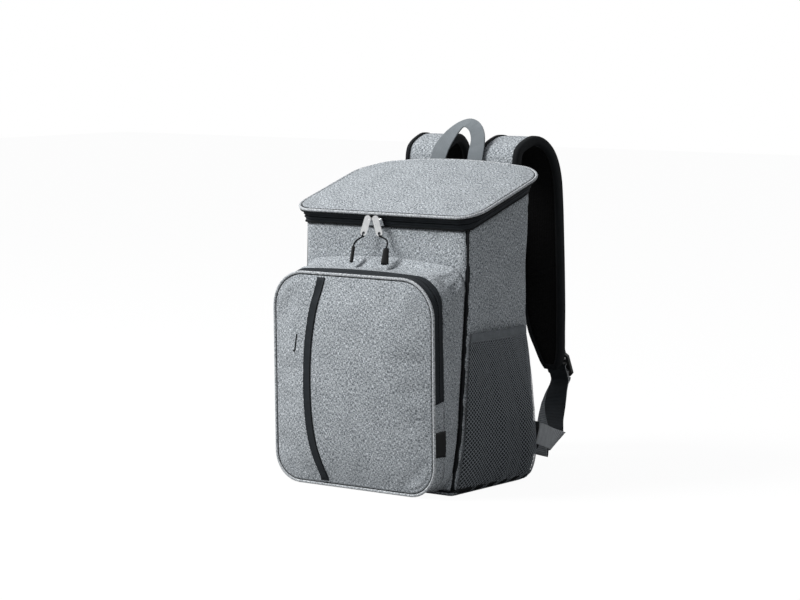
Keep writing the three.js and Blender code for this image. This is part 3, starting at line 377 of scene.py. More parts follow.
def join(shape, other):
    """Adds another bmesh to this one and frees it."""
    carrier = bpy.data.meshes.new("carrier")
    other.to_mesh(carrier)
    other.free()
    shape.from_mesh(carrier)
    bpy.data.meshes.remove(carrier)


print("cloth helpers ready")

# %% [markdown]
# ## Finishes
# Each material is named for what it is on such a bag. Colours are sRGB hex values, turned to
# linear by one function, and one more function adds a node. A pattern's scale always starts
# from a real size in millimetres: it is divided into the metres of the cloth's UV map.

# %% Colour and node helpers
def paint(hex_colour):
    channels = [int(hex_colour[k:k + 2], 16) / 255 for k in (1, 3, 5)]
    return tuple(c / 12.92 if c <= 0.04045 else ((c + 0.055) / 1.055) ** 2.4 for c in channels) + (1,)


def add(material, kind, inputs=None, out=0, stops=(), **settings):
    """Adds a node with its settings and its values or links, and gives back one output."""
    node = material.node_tree.nodes.new("ShaderNode" + kind)
    for name, value in settings.items():
        setattr(node, name, value)
    for position, colour in stops[2:]:
        node.color_ramp.elements.new(position)
    for element, (position, colour) in zip(node.color_ramp.elements if stops else (), sorted(stops)):
        element.position, element.color = position, paint(colour)
    for name, value in (inputs or {}).items():
        if isinstance(value, bpy.types.NodeSocket):
            material.node_tree.links.new(value, node.inputs[name])
        else:
            node.inputs[name].default_value = value
    return node.outputs[out]


def new_material(name, roughness, metallic=0.0, specular=0.15):
    material = bpy.data.materials.new(name)
    material.use_nodes = True
    shader = material.node_tree.nodes["Principled BSDF"]
    shader.inputs["Roughness"].default_value = roughness
    shader.inputs["Metallic"].default_value = metallic
    shader.inputs["Specular IOR Level"].default_value = specular
    return material


def dress(material, **sources):
    """Links patterns to the shader's own sockets, such as Base_Color."""
    shader = material.node_tree.nodes["Principled BSDF"]
    for socket, source in sources.items():
        material.node_tree.links.new(source, shader.inputs[socket.replace("_", " ")])
    return material


def per_mm(across, along=None):
    """A Mapping scale that makes one unit of a pattern this many millimetres."""
    along = along or across
    return (1 / (across * MM), 1 / (along * MM), 1 / (across * MM))


# A Wave texture repeats every pi / 10 of its own units.
WAVE_UNIT = 0.314
print("node helpers ready")

# %% [markdown]
# ### Heather canvas
# The bag is cut from mélange polyester canvas: a plain weave of yarns spun from light and
# dark grey fibres, so that short light and dark slubs run both ways. It is matt with a faint
# fuzz. The yarns are about 0.5 mm apart, too fine for the picture, so the slubs are drawn
# about 3.6 mm long and 0.8 mm thick, and the weave's bump at 1.4 mm.

# %% Heather canvas
def heather_canvas(name, dark, middle, light):
    material = new_material(name, 0.93)
    shader = material.node_tree.nodes["Principled BSDF"]
    shader.inputs["Sheen Weight"].default_value = 0.12
    shader.inputs["Sheen Roughness"].default_value = 0.5
    cloth = add(material, "UVMap", uv_map="cloth")
    slubs = []
    for size in ((3.6, 0.75), (0.75, 3.6)):
        lie = add(material, "Mapping", {"Vector": cloth, "Scale": per_mm(*size)})
        slubs.append(add(material, "TexNoise", {
            "Vector": lie, "Scale": 1.0, "Detail": 1.0, "Roughness": 0.6}))
    both = add(material, "Math", {0: slubs[0], 1: slubs[1]})
    slub = add(material, "MapRange", {"Value": both, "From Min": 0.8, "From Max": 1.2})
    wide = add(material, "Mapping", {"Vector": cloth, "Scale": per_mm(34)})
    patches = add(material, "TexNoise", {"Vector": wide, "Scale": 1.0, "Detail": 2.0})
    shade = add(material, "MapRange", {
        "Value": patches, "From Min": 0.3, "From Max": 0.7, "To Min": -0.05, "To Max": 0.05})
    tone = add(material, "Math", {0: slub, 1: shade})
    fine = add(material, "Mapping", {"Vector": cloth, "Scale": per_mm(1.4 / WAVE_UNIT)})
    warp, weft = (
        add(material, "TexWave", {"Vector": fine, "Scale": 1.0}, out="Fac", bands_direction=way)
        for way in "XY")
    crossings = add(material, "Math", {0: warp, 1: weft}, operation="MULTIPLY")
    height = add(material, "Math", {0: crossings, 1: slub})
    return dress(
        material,
        Base_Color=add(material, "ValToRGB", {"Fac": tone}, stops=[
            (0.0, dark), (1.0, light), (0.5, middle)]),
        Roughness=add(material, "MapRange", {"Value": slub, "To Min": 0.98, "To Max": 0.86}),
        Normal=add(material, "Bump", {"Height": height, "Strength": 0.35, "Distance": 0.35 * MM}),
    )


canvas = heather_canvas("heather_polyester_canvas", "#565B5F", "#979DA2", "#E4E9ED")
canvas_piping = heather_canvas("heather_canvas_piping", "#767A7D", "#B4B9BD", "#EBEDEF")
print("canvas made")

# %% [markdown]
# ### Tapes, webbing and thread
# Zip tape, edge binding and webbing are all narrow woven polyester: fine ribs run across or
# along them and catch the light, which is what tells them from plastic. One recipe draws
# them, with the rib's pitch and direction and the colours of its groove and crest.

# %% Ribbed narrow goods
def ribbed_tape(name, groove, crest, pitch, way, roughness=0.8, depth=0.25):
    material = new_material(name, roughness)
    cloth = add(material, "UVMap", uv_map="cloth")
    lie = add(material, "Mapping", {"Vector": cloth, "Scale": per_mm(pitch / WAVE_UNIT)})
    ribs = add(material, "TexWave", {"Vector": lie, "Scale": 1.0}, out="Fac", bands_direction=way)
    hairs = add(material, "Mapping", {"Vector": cloth, "Scale": per_mm(0.9)})
    fuzz = add(material, "TexNoise", {"Vector": hairs, "Scale": 1.0, "Detail": 2.0})
    long_way = add(material, "Mapping", {"Vector": cloth, "Scale": per_mm(18, 9)})
    wear = add(material, "TexNoise", {"Vector": long_way, "Scale": 1.0, "Detail": 2.0})
    mixed = add(material, "Math", {0: ribs, 1: fuzz}, operation="ADD")
    tone = add(material, "Math", {0: mixed, 1: wear}, operation="ADD")
    level = add(material, "MapRange", {"Value": tone, "From Min": 0.75, "From Max": 2.25})
    return dress(
        material,
        Base_Color=add(material, "ValToRGB", {"Fac": level}, stops=[(0.0, groove), (1.0, crest)]),
        Roughness=add(material, "MapRange", {
            "Value": fuzz, "From Min": 0.3, "From Max": 0.7,
            "To Min": roughness - 0.08, "To Max": roughness + 0.08}),
        Normal=add(material, "Bump", {"Height": mixed, "Strength": 0.5, "Distance": depth * MM}),
    )


zip_tape = ribbed_tape("black_polyester_zip_tape", "#131517", "#31363B", 1.6, "X", 0.72)
binding_tape = ribbed_tape("black_grosgrain_binding", "#07080A", "#1A1D20", 1.4, "X")
black_webbing = ribbed_tape("black_polypropylene_webbing", "#131618", "#33383D", 2.2, "Y", 0.62)
ribbed_webbing = ribbed_tape("grey_backed_webbing", "#8A8E92", "#D5D8DA", 2.6, "Y", 0.8, 0.35)
grey_webbing = ribbed_tape("grey_polyester_webbing", "#696F73", "#8A9094", 1.5, "Y", 0.78)
elastic_band = ribbed_tape("grey_woven_elastic", "#585D61", "#8B9094", 1.6, "X", 0.85)
woven_label = ribbed_tape("black_damask_label", "#0D0E0F", "#1C1E20", 0.9, "Y", 0.55, 0.1)
thread_black = ribbed_tape("black_sewing_thread", "#0E0F10", "#2B2E30", 0.8, "X", 0.7)
print("narrow goods made")

# %% [markdown]
# ### Knits
# The strap's inner side is warp-knit spacer mesh, nearly black, with rows of small open
# cells. The side pockets are cut from a coarser knit whose cells are real holes here, so
# its yarn needs a finish. So does a dark sheet of painted shade, for the shadow inside the
# pocket, that is seen through the holes.

# %% Knitted net and spacer mesh
def knit(name, dark, light, pitch, roughness, depth):
    material = new_material(name, roughness)
    cloth = add(material, "UVMap", uv_map="cloth")
    rows = add(material, "Mapping", {"Vector": cloth, "Scale": per_mm(pitch, pitch * 0.8)})
    cells = add(material, "TexVoronoi", {"Vector": rows, "Scale": 1.0, "Randomness": 0.25}, out="Distance")
    yarn = add(material, "MapRange", {"Value": cells, "From Min": 0.15, "From Max": 0.6})
    hairs = add(material, "Mapping", {"Vector": cloth, "Scale": per_mm(0.8)})
    fuzz = add(material, "TexNoise", {"Vector": hairs, "Scale": 1.0, "Detail": 2.0})
    return dress(
        material,
        Base_Color=add(material, "ValToRGB", {"Fac": yarn}, stops=[(0.0, dark), (1.0, light)]),
        Roughness=add(material, "MapRange", {
            "Value": fuzz, "From Min": 0.3, "From Max": 0.7,
            "To Min": roughness - 0.06, "To Max": roughness + 0.04}),
        Normal=add(material, "Bump", {"Height": yarn, "Strength": 0.7, "Distance": depth * MM}),
    )


spacer_mesh = knit("black_spacer_mesh", "#000000", "#040405", 3.0, 0.98, 0.8)
net_yarn = knit("grey_warp_knit_net_yarn", "#73787E", "#B4BABF", 1.0, 0.85, 0.2)
# Painted shade: a near-black knit for the sheet that darkens the wall seen through the net.
net_shade_sheet = knit("painted_shade_net_sheet", "#1A1C1E", "#34383B", 1.6, 0.92, 0.2)
print("knits made")

# %% [markdown]
# ### Plastic and metal
# The locks are injection-moulded acetal: black, with a soft satin gloss and a very fine
# spark-eroded grain. The pull grips are moulded PVC, duller. Sliders and tabs are die-cast
# zinc with bright nickel plate, with hairline scratches that break up their reflections.

# %% Moulded plastic, grip and plate
def grained(name, low, high, roughness, grain, metallic=0.0, depth=0.08):
    material = new_material(name, roughness, metallic, 0.5 if roughness < 0.6 else 0.2)
    place = add(material, "TexCoord", out="Object")
    lie = add(material, "Mapping", {"Vector": place, "Scale": per_mm(*grain)})
    marks = add(material, "TexNoise", {"Vector": lie, "Scale": 1.0, "Detail": 3.0})
    return dress(
        material,
        Base_Color=add(material, "ValToRGB", {"Fac": marks}, stops=[(0.25, low), (0.75, high)]),
        Roughness=add(material, "MapRange", {
            "Value": marks, "From Min": 0.3, "From Max": 0.7,
            "To Min": roughness - 0.07, "To Max": roughness + 0.09}),
        Normal=add(material, "Bump", {"Height": marks, "Strength": 0.25, "Distance": depth * MM}),
    )


acetal = grained("black_moulded_acetal", "#0B0C0D", "#1B1D1F", 0.42, (0.5, 0.5))
grip_pvc = grained("black_moulded_pvc", "#060707", "#131416", 0.62, (0.7, 0.7))
nickel = grained("nickel_plated_zinc", "#E6E8EA", "#FAFBFB", 0.34, (6.0, 0.4), 1.0, 0.03)
print("plastic and metal made")

# %% [markdown]
# ## Pull cords, tabs and grips
# Each of the two lid sliders has a flat metal tab, and a short braided cord is looped
# through the tab's eye and ends in a moulded grip. The cords come before anything else on
# the bag. Their routes are the CAD part's own, given as steps from the middle of each eye:
# 20 to 24 mm of cord shows and 11 mm more is moulded into the grip.

# %% Cord sizes and routes
TAB_WIDTH, TAB_DROP, TAB_THICKNESS, TAB_TURN = 9, 20, 1.6, 24
SLIDER = dict(wide=9, deep=7.2, tall=12)
BAND_FOOT, BAND_HEAD, BAND_MIDDLE = (band_point(0, height) for height in (0, ZIP_BAND_TOP, 9.15))
BAND_FLARE = math.atan2(BAND_FOOT.y - BAND_HEAD.y, BAND_HEAD.z - BAND_FOOT.z)
SLIDER_MIDDLE = BAND_MIDDLE + Vector((0, -math.cos(BAND_FLARE), -math.sin(BAND_FLARE))) * 5.8
TAB_Y = SLIDER_MIDDLE.y - math.sin(BAND_FLARE) * 6 - math.cos(BAND_FLARE) * 3.6 - GAP
TAB_TOP = LID_FRONT - 9
CORD_RADIUS, CORD_IN_GRIP, CORD_PLY = 1.2, 11, 0.85
GRIP_LENGTH = 24
PULLS = [
    dict(name="right", x=-1.5, lean=13, tab_lean=15, slider_x=-1.9,
         across=(0.8, 0.6, 0), grip_end=(20.5, -15.4, -42.5),
         route=[(1.7, 0, -4.6), (8.2, -0.8, -6.3), (14.6, -2.3, -9.3),
                (16.4, -3.7, -14.5), (15.8, -4.8, -18.9)]),
    dict(name="left", x=-24.5, lean=2, tab_lean=-17, slider_x=-17.6,
         across=(0.6, -0.8, 0), grip_end=(-9.7, -15.4, -42.0),
         route=[(-0.8, 0, -5.1), (-4.4, -0.9, -7.4), (-9.4, -2.9, -10.8),
                (-12.8, -4.1, -15.4), (-13.4, -4.9, -18.4)]),
]


def eye_of(pull):
    lean = math.radians(pull["lean"])
    return Vector((pull["x"] + TAB_DROP * math.sin(lean), TAB_Y - TAB_THICKNESS / 2,
                   TAB_TOP - 3.5 - TAB_DROP * math.cos(lean)))


# %% Cords with their loops, knots and grips
def loop_and_knot(pull, eye, start):
    """The cord's doubled loop through the eye, and the knot that holds it, as one piece."""
    towards = (start - eye).normalized()
    rim = Vector((0, -1, 0))
    loop_path = smooth_path([
        start + Vector((0, 0.9, 0)), eye + towards * 2.2 + Vector((0, 1.5, 0)),
        eye + Vector((0, 1.6, 0)) - towards * 0.2, eye - towards * 0.5,
        eye + rim * 1.7 - towards * 0.2, eye + towards * 2.2 + rim * 1.6,
        start + Vector((0, -0.9, 0))], 28)
    shape = tube(loop_path, CORD_PLY, 8, up=(0.3, 0.2, 1))
    knot_path = []
    for turn in steps(0, 2.2, 40):
        angle = 2 * math.pi * turn
        knot_path.append(start + towards * (0.6 * turn - 1.0) + Vector((
            1.25 * math.cos(angle), 1.5 * math.sin(angle), 0.5 * math.sin(2 * angle))))
    join(shape, tube(knot_path, CORD_PLY, 8, up=(0.1, 0.2, 1)))
    return finish(f"cord_loop_{pull['name']}", shape, cord_braid)


def grip_body(pull, start, end):
    """A ring of corners drawn out along the cord, with a slight waist and rounded ends."""
    along = (end - start).normalized()
    wide = Vector(pull["across"])
    deep = along.cross(wide).normalized()
    shares = [0, 0.02, 0.06, 0.12, 0.2, 0.3, 0.42, 0.55, 0.7, 0.82, 0.92, 0.97, 1]
    sizes = [0.5, 0.8, 0.95, 1, 1, 0.97, 0.95, 0.96, 1, 1, 1, 0.9, 0.6]

    def place(k, turn):
        share, size = shares[k], sizes[k]
        angle = 2 * math.pi * turn
        half = lerp(7.5, 11, share) / 2 * size
        c, s = math.cos(angle), math.sin(angle)
        squared = (abs(c) ** 3 + abs(s) ** 3) ** (-1 / 3)
        return (start + along * GRIP_LENGTH * share + wide * half * c * squared
                + deep * 2.5 * size * s * squared)

    shape = cloth_grid(list(range(len(shares))), steps(0, 1, 24), place, (0, 0, 0), wraps=True)
    bmesh.ops.holes_fill(shape, edges=[e for e in shape.edges if e.is_boundary], sides=0)
    bmesh.ops.recalc_face_normals(shape, faces=shape.faces[:])
    return finish(f"grip_{pull['name']}", shape, grip_pvc, [f"pull_grip_{pull['name']}"], "plastic_black")


cord_braid = ribbed_tape("black_braided_polyester_cord", "#08090A", "#25282B", 1.1, "X", 0.7, 0.3)
for pull in PULLS:
    eye = eye_of(pull)
    route = [eye + Vector(step) for step in pull["route"]]
    grip_end = eye + Vector(pull["grip_end"])
    into_grip = (grip_end - route[-1]).normalized()
    grip_start = route[-1] + into_grip * GAP
    line = smooth_path(route, 20) + [route[-1] + into_grip * step for step in (4, 8, CORD_IN_GRIP)]
    cord = finish(f"cord_{pull['name']}", tube(line, CORD_RADIUS, 12, up=(0.1, 1, 0.1)), cord_braid,
                  [f"pull_cord_{pull['name']}"], "webbing_black")
    loop = loop_and_knot(pull, eye, route[0])
    grip = grip_body(pull, grip_start, grip_end)

# %% [markdown]
# The slider is a small die-cast body with a bridge that the tab hangs from. A block with
# bevelled edges is its body, and two bars are its bridge. The tab is punched from sheet: a
# long rounded plate with a round eye, made by bridging its outline to the eye.

# %% Sliders and tabs
def bevel_all(shape, width, segments=2, angle=30):
    sharp = [e for e in shape.edges
             if len(e.link_faces) == 2 and e.calc_face_angle(0) > math.radians(angle)]
    bmesh.ops.bevel(shape, geom=sharp, offset=width * MM, segments=segments, profile=0.5,
                    affect="EDGES", material=-1, offset_type="OFFSET", clamp_overlap=True)


def block(shape, size, centre):
    """Adds a box to a bmesh and gives back its vertices."""
    made = bmesh.ops.create_cube(shape, size=1)["verts"]
    bmesh.ops.scale(shape, vec=Vector(size) * MM, verts=made)
    bmesh.ops.translate(shape, vec=Vector(centre) * MM, verts=made)
    return made


def tab_outline(half, foot, count=16):
    top = [(half * math.cos(a), half * math.sin(a)) for a in steps(0, math.pi, count)]
    low = [(half * math.cos(a), foot + half * math.sin(a)) for a in steps(math.pi, 2 * math.pi, count)]
    return top + low


def pull_tab(pull):
    """The plate is a ring: its outline and its eye are bridged, then it hangs from its eye."""
    half = TAB_WIDTH / 2
    outline = tab_outline(half, -TAB_DROP)
    eye_ring = [(2 * math.cos(a), 2 * math.sin(a) - TAB_DROP) for a in (
        math.atan2(z + TAB_DROP, x) for x, z in outline)]
    shape = bmesh.new()
    for ring in (outline, eye_ring):
        corners = [shape.verts.new((x * MM, 0, (z + TAB_DROP) * MM)) for x, z in ring]
        for a, b in zip(corners, corners[1:] + corners[:1]):
            shape.edges.new((a, b))
    bmesh.ops.bridge_loops(shape, edges=shape.edges[:])
    bmesh.ops.solidify(shape, geom=shape.faces[:], thickness=TAB_THICKNESS * MM)
    bmesh.ops.recalc_face_normals(shape, faces=shape.faces[:])
    bevel_all(shape, 0.35)
    middle = sum((v.co for v in shape.verts), Vector()) / len(shape.verts)
    bmesh.ops.translate(shape, verts=shape.verts[:], vec=(0, -middle.y, 0))
    turn = Euler((0, -math.radians(pull["tab_lean"]), math.radians(TAB_TURN)))
    place = Matrix.LocRotScale(eye_of(pull) * MM, turn, None)
    bmesh.ops.transform(shape, matrix=place, verts=shape.verts[:])
    shape.loops.layers.uv.new("cloth")
    return finish(f"tab_{pull['name']}", shape, nickel, [f"zip_pull_{pull['name']}"], "metal_silver",
                  smooth=False)


def slider(name, node, centre, tilt=0.0, turn=0.0):
    """A slider's body with its bridge on the side of -Y, tilted back and turned."""
    shape = bmesh.new()
    wide, deep, tall = SLIDER.values()
    block(shape, (wide, 2.4, tall), (0, deep / 2 - 1.3, 0))
    block(shape, (wide * 0.72, 2.2, tall * 0.86), (0, 0.7, 0))
    block(shape, (3.2, deep - 2.6, 2.4), (0, -0.9, tall * 0.32))
    block(shape, (3.2, 1.6, tall * 0.62), (0, 0.9 - deep / 2, tall * 0.1))
    bevel_all(shape, 0.55, 3)
    place = Matrix.LocRotScale(Vector(centre) * MM, Euler((tilt, 0, turn)), None)
    bmesh.ops.transform(shape, matrix=place, verts=shape.verts[:])
    shape.loops.layers.uv.new("cloth")
    return finish(f"slider_{name}", shape, nickel, [node], "metal_silver", smooth=False)


for pull in PULLS:
    slider(pull["name"], f"zip_slider_{pull['name']}",
           (pull["slider_x"], SLIDER_MIDDLE.y, SLIDER_MIDDLE.z), BAND_FLARE)
    pull_tab(pull)
print("sliders and tabs made")

# %% [markdown]
# ## Padded cloth
# The walls are canvas over foam and lining. Foam pushes the canvas out between its seams, so
# each panel is settled by a short cloth simulation: its rim is pinned where it is sewn, air
# pressure stands for the foam, and the cloth is cut a little larger than its frame so that
# it can wrinkle. Every point may move only a few millimetres from the CAD surface. The
# panels stop just short of their front corner seams, and a dark strip behind each seam
# stands for the allowance that is sewn there.

# %% Settling cloth
def settle(piece, pinned, pressure, reach, slack=0.0, stiffness=15.0):
    """Simulates the piece's cloth with the pinned points held, and keeps the result."""
    held = piece.vertex_groups.new(name="sewn")
    held.add(pinned, 1.0, "REPLACE")
    start = [v.co.copy() for v in piece.data.vertices]
    cloth = piece.modifiers.new("settle", "CLOTH")
    rules = cloth.settings
    rules.quality = 5
    rules.mass = 0.3
    rules.tension_stiffness = rules.compression_stiffness = stiffness
    rules.shear_stiffness = 5.0
    rules.bending_stiffness = 4.0
    rules.vertex_group_mass = "sewn"
    rules.use_pressure = True
    rules.uniform_pressure_force = pressure
    rules.shrink_min = -slack
    rules.effector_weights.gravity = 0.0
    for step in range(1, 21):
        scene.frame_set(step)
    settled = piece.evaluated_get(bpy.context.evaluated_depsgraph_get())
    ends = [v.co.copy() for v in settled.data.vertices]
    piece.modifiers.remove(cloth)
    piece.vertex_groups.remove(held)
    scene.frame_set(1)
    most = 0
    for vertex, before, after in zip(piece.data.vertices, start, ends):
        move = after - before
        allowed = reach(before) * MM if callable(reach) else reach * MM
        if move.length > allowed:
            move *= allowed / move.length
        vertex.co = before + move
        most = max(most, move.length)
    piece.data.update()
    print(piece.name, "settled by up to", round(most * 1000, 1), "mm")
    return piece


def rim_points(piece):
    """Indices of the points on the piece's open edges."""
    shape = bmesh.new()
    shape.from_mesh(piece.data)
    indices = [v.index for v in shape.verts if v.is_boundary]
    shape.free()
    return indices


# %% Walls
SEAM_RIGHT, SEAM_LEFT = 1.5, 2.02


def crease(point, start, end, depth, width):
    """How far a pressed-in line through start and end pulls the cloth in at a point."""
    line = end - start
    share = min(max((point - start).dot(line) / line.length_squared, 0), 1)
    away = (point - start.lerp(end, share)).length
    fade = math.sin(math.pi * min(max(share, 0.06), 0.94)) ** 0.5
    return depth * fade * math.exp(-(away / width) ** 2)


def wall(name, start, end, pressure, reach, slack):
    places = even_places(body_loop(200), start, end, 7)
    heights = steps(0, 1, 48)
    shape = cloth_grid(places, heights, wall_point, (0, 0, 200))
    piece = finish(name, shape, canvas, [name], "fabric_grey")
    settle(piece, rim_points(piece), pressure, reach, slack)
    return refine(thicken(piece, 5))


def side_reach(point):
    """The net pocket lies over the lower part, so that the wall moves less there."""
    return 3.4 if point.z > 0.225 else 1.6


def back_reach(point):
    """Straps and handle are sewn flat at the top, so that the back stays put there."""
    return 3.0 if point.z < 0.34 else 0.0


SEAM_ALLOWANCE = 0.005
wall("side_panel_right", SEAM_RIGHT + SEAM_ALLOWANCE, 3.99, 3.0, side_reach, 0.02)
wall("side_panel_left", 5.01, 9 - SEAM_LEFT - SEAM_ALLOWANCE, 3.0, side_reach, 0.02)
wall("back_panel", 4.0, 5.0, 2.0, back_reach, 0.01)
wall("front_panel", -SEAM_LEFT + SEAM_ALLOWANCE, SEAM_RIGHT - SEAM_ALLOWANCE, 2.0, 1.0, 0.01)
for side, first, last in (("right", 1.2, 1.8), ("left", 6.94, 7.3)):
    shape = cloth_grid(steps(first, last, 8), steps(0, 1, 40),
                       lambda place, share: wall_point(place, share, 0.9), (0, 0, 200))
    thicken(finish(f"seam_allowance_{side}", shape, binding_tape), 1.0)
print("four walls and the allowances of their seams made")

# %% Base
def base_panel():
    """A slab drawn up from the outline, with its lower edge rolled."""
    outline = even_places(body_loop(0), 0, 9, 8)
    rows = [(3.2, 0), (1.6, 0.12), (0.5, 0.3), (0, 0.6), (0, 1)]

    def place(at, row):
        by, height = rows[row]
        return Vector((*loop_point(body_loop(0, by), at), height * BASE_THICKNESS))

    shape = cloth_grid(outline, list(range(len(rows))), place, (0, 0, 3), wraps=True)
    rims = [e for e in shape.edges if e.is_boundary]
    bmesh.ops.holes_fill(shape, edges=rims, sides=0)
    bmesh.ops.recalc_face_normals(shape, faces=shape.faces[:])
    piece = finish("base_panel", shape, canvas, ["base_panel"], "fabric_grey")
    return piece


base_panel()
print("base made")

# %% [markdown]
# ## Lid and pocket face
# Both are padded panels with rounded corners inside a piping. A square grid is laid over
# each and its corner squares are pulled in to quarter circles, which keeps the threads
# straight in the middle. The rim rolls over, is drawn back and closed, so that each is one
# closed form. The piping is sewn on beside it. A thin black tube lies between them: it is
# partly the seam's stitch line and partly painted shade for the groove.

# %% Rounded panels
FINE_EDGE, PANEL_PITCH = [0, 0.5, 1.2, 2.2, 3.4, 4.4, 5.4, 6.6, 8.2, 10.5, 14], 7


def graded(low, high):
    """Steps from low to high that are close together near both ends."""
    *fine, last = FINE_EDGE
    middle = steps(low + last, high - last, round((high - low - 2 * last) / PANEL_PITCH))
    return [low + f for f in fine] + middle + [high - f for f in reversed(fine)]


def round_corner(x, z, loop):
    """Pulls a point of the outline's square corner in, to an arc about the corner's centre."""
    side = 1 if x >= 0 else -1
    high = z > (loop["low"] + loop["high"]) / 2
    radius = loop["high_radius"] if high else loop["low_radius"]
    centre_x = loop["half"] - radius
    centre_z = loop["high"] - radius if high else loop["low"] + radius
    a, b = abs(x) - centre_x, (z - centre_z) * (1 if high else -1)
    if a <= 0 or b <= 0:
        return x, z
    pull = max(a, b) / math.hypot(a, b)
    return side * (centre_x + a * pull), centre_z + b * pull * (1 if high else -1)


def rim_distance(x, z, loop):
    """Distance from the outline, inwards."""
    side = 1 if x >= 0 else -1
    high = z > (loop["low"] + loop["high"]) / 2
    radius = loop["high_radius"] if high else loop["low_radius"]
    a = abs(x) - (loop["half"] - radius)
    b = z - (loop["high"] - radius) if high else loop["low"] + radius - z
    if a > 0 and b > 0:
        return radius - math.hypot(a, b)
    return min(loop["half"] - abs(x), z - loop["low"], loop["high"] - z)


def roll(away, radius):
    if away >= radius:
        return 0.0
    return radius - math.sqrt(max(radius ** 2 - (radius - away) ** 2, 0))


def close_behind(piece, back, lip):
    """Draws the rim back by a step, turns a lip inwards and closes the form."""
    shape = bmesh.new()
    shape.from_mesh(piece.data)
    middle = sum((v.co for v in shape.verts), Vector()) / len(shape.verts)
    for move, shrink in ((Vector(back) * MM, 1.0), (Vector(), lip)):
        rim = [e for e in shape.edges if e.is_boundary]
        made = bmesh.ops.extrude_edge_only(shape, edges=rim)["geom"]
        verts = [g for g in made if isinstance(g, bmesh.types.BMVert)]
        bmesh.ops.translate(shape, verts=verts, vec=move)
        for vertex in verts:
            vertex.co = middle + (vertex.co - middle) * shrink if shrink != 1.0 else vertex.co
            if shrink != 1.0:
                vertex.co += Vector(back) * MM * (1 - shrink)
    rim = [e for e in shape.edges if e.is_boundary]
    filled = bmesh.ops.holes_fill(shape, edges=rim, sides=0)["faces"]
    bmesh.ops.triangulate(shape, faces=filled)
    shape.to_mesh(piece.data)
    shape.free()
    piece.data.polygons.foreach_set("use_smooth", [True] * len(piece.data.polygons))
    return piece


# %% Lid
def lid_place(x, y):
    away = rim_distance(*round_corner(x, y, LID_LOOP), LID_LOOP)
    x, y = round_corner(x, y, LID_LOOP)
    z = lid_top(x, y) - roll(away, 2.6)
    return Vector((x, y, z))


lid_across = graded(-LID_LOOP["half"], LID_LOOP["half"])
lid_along = graded(LID_LOOP["low"], LID_LOOP["high"])
lid = finish("lid_panel", cloth_grid(lid_across, lid_along, lid_place, (0, 0, 300)), canvas,
             ["lid_panel"], "fabric_grey")
lid_rim = [v.index for v in lid.data.vertices
           if rim_distance(v.co.x / MM, v.co.y / MM, LID_LOOP) < 7]
settle(lid, lid_rim, 2.0, 2.5, 0.006)
close_behind(lid, (0, 0, -2.6), 0.94)
print("lid made of", len(lid.data.polygons), "faces")

# %% Pocket face
FACE_DENTS = [
    dict(x=-104, z=244, size=15, depth=2.6), dict(x=-108, z=222, size=11, depth=1.8),
    dict(x=-96, z=262, size=9, depth=1.2), dict(x=-112, z=60, size=16, depth=1.6),
    dict(x=112, z=180, size=14, depth=1.4), dict(x=60, z=262, size=22, depth=1.2),
]


def pocket_place(x, z):
    x, z = round_corner(x, z, POCKET_LOOP)
    away = rim_distance(x, z, POCKET_LOOP)
    point = face_point(x, z)
    point.y += roll(away, 2.4)
    for dent in FACE_DENTS:
        apart = math.hypot(x - dent["x"], z - dent["z"])
        point.y += dent["depth"] * math.exp(-(apart / dent["size"]) ** 2)
    return point


face_across = graded(-POCKET_LOOP["half"], POCKET_LOOP["half"])
face_up = graded(POCKET_LOOP["low"], POCKET_LOOP["high"])
pocket_face = finish("pocket_panel", cloth_grid(face_across, face_up, pocket_place, (0, 0, 150)),
                     canvas, ["pocket_panel"], "fabric_grey")
face_rim = [v.index for v in pocket_face.data.vertices
            if rim_distance(v.co.x / MM, v.co.z / MM, POCKET_LOOP) < 6.5]
settle(pocket_face, face_rim, 2.0, 2.0, 0.006)
close_behind(pocket_face, (0, 2.0, 0), 0.95)
face_tree = BVHTree.FromObject(pocket_face, bpy.context.evaluated_depsgraph_get())


def on_face(x, z, lift):
    """The point of the settled face at this x and z, lifted towards the front."""
    hit = face_tree.ray_cast(Vector((x, -400, z)) * MM, Vector((0, 1, 0)))[0]
    return (hit / MM if hit else pocket_place(x, z)) - Vector((0, lift, 0))


print("pocket face made of", len(pocket_face.data.polygons), "faces")

# %% [markdown]
# ## Pocket gusset
# A strip of single canvas joins the pocket's face to the bag's front all the way round. It
# is softer than the padded walls: it sags on top and wrinkles at its corners, so its cloth
# is cut 3% too long before it settles, and it is pinned along both seams only.

# %% Gusset
ZIP_END_RIGHT, ZIP_END_LEFT = 126, 46
POCKET_SIDE = 289.5 - 48 - 5 - 38
zip_start = 2 + (ZIP_END_RIGHT - 43) / POCKET_SIDE
zip_end = 6 + (241.5 - ZIP_END_LEFT) / POCKET_SIDE
GUSSET_CREASES = [
    (Vector((112, -105, 285)), Vector((128, -72, 302)), 2.4, 4.0),
    (Vector((126, -104, 262)), Vector((136, -74, 292)), 2.6, 4.5),
    (Vector((131, -108, 240)), Vector((137, -78, 262)), 1.8, 4.5),
    (Vector((-112, -105, 285)), Vector((-128, -72, 302)), 2.0, 4.5),
    (Vector((-20, -120, 292)), Vector((10, -80, 309)), 1.2, 7.0),
]


def gusset_rear(place, share):
    point = gusset_point(place, lerp(GUSSET_REAR + 2 * GAP, gusset_depth(place), share))
    point.z -= 5 * math.sin(math.pi * share) ** 2 * max(point.z / 302, 0) ** 12
    inwards = (Vector((0, -100, 150)) - point).normalized()
    for start, end, depth, width in GUSSET_CREASES:
        point += inwards * crease(point, start, end, depth, width) * math.sin(math.pi * share) ** 0.4
    return point


gusset_places = even_places(POCKET_LOOP, 0, 9, 6.5)
gusset = finish(
    "pocket_gusset_rear",
    cloth_grid(gusset_places, steps(0, 1, 9), gusset_rear, (0, -100, 150), wraps=True),
    canvas, ["pocket_gusset_rear"], "fabric_grey")
settle(gusset, rim_points(gusset), 0.8, 2.2, 0.03, 8.0)
around = runs([gusset_rear(p, 0.5) * MM for p in gusset_places])[-1]
refine(thicken(gusset, 1.4))


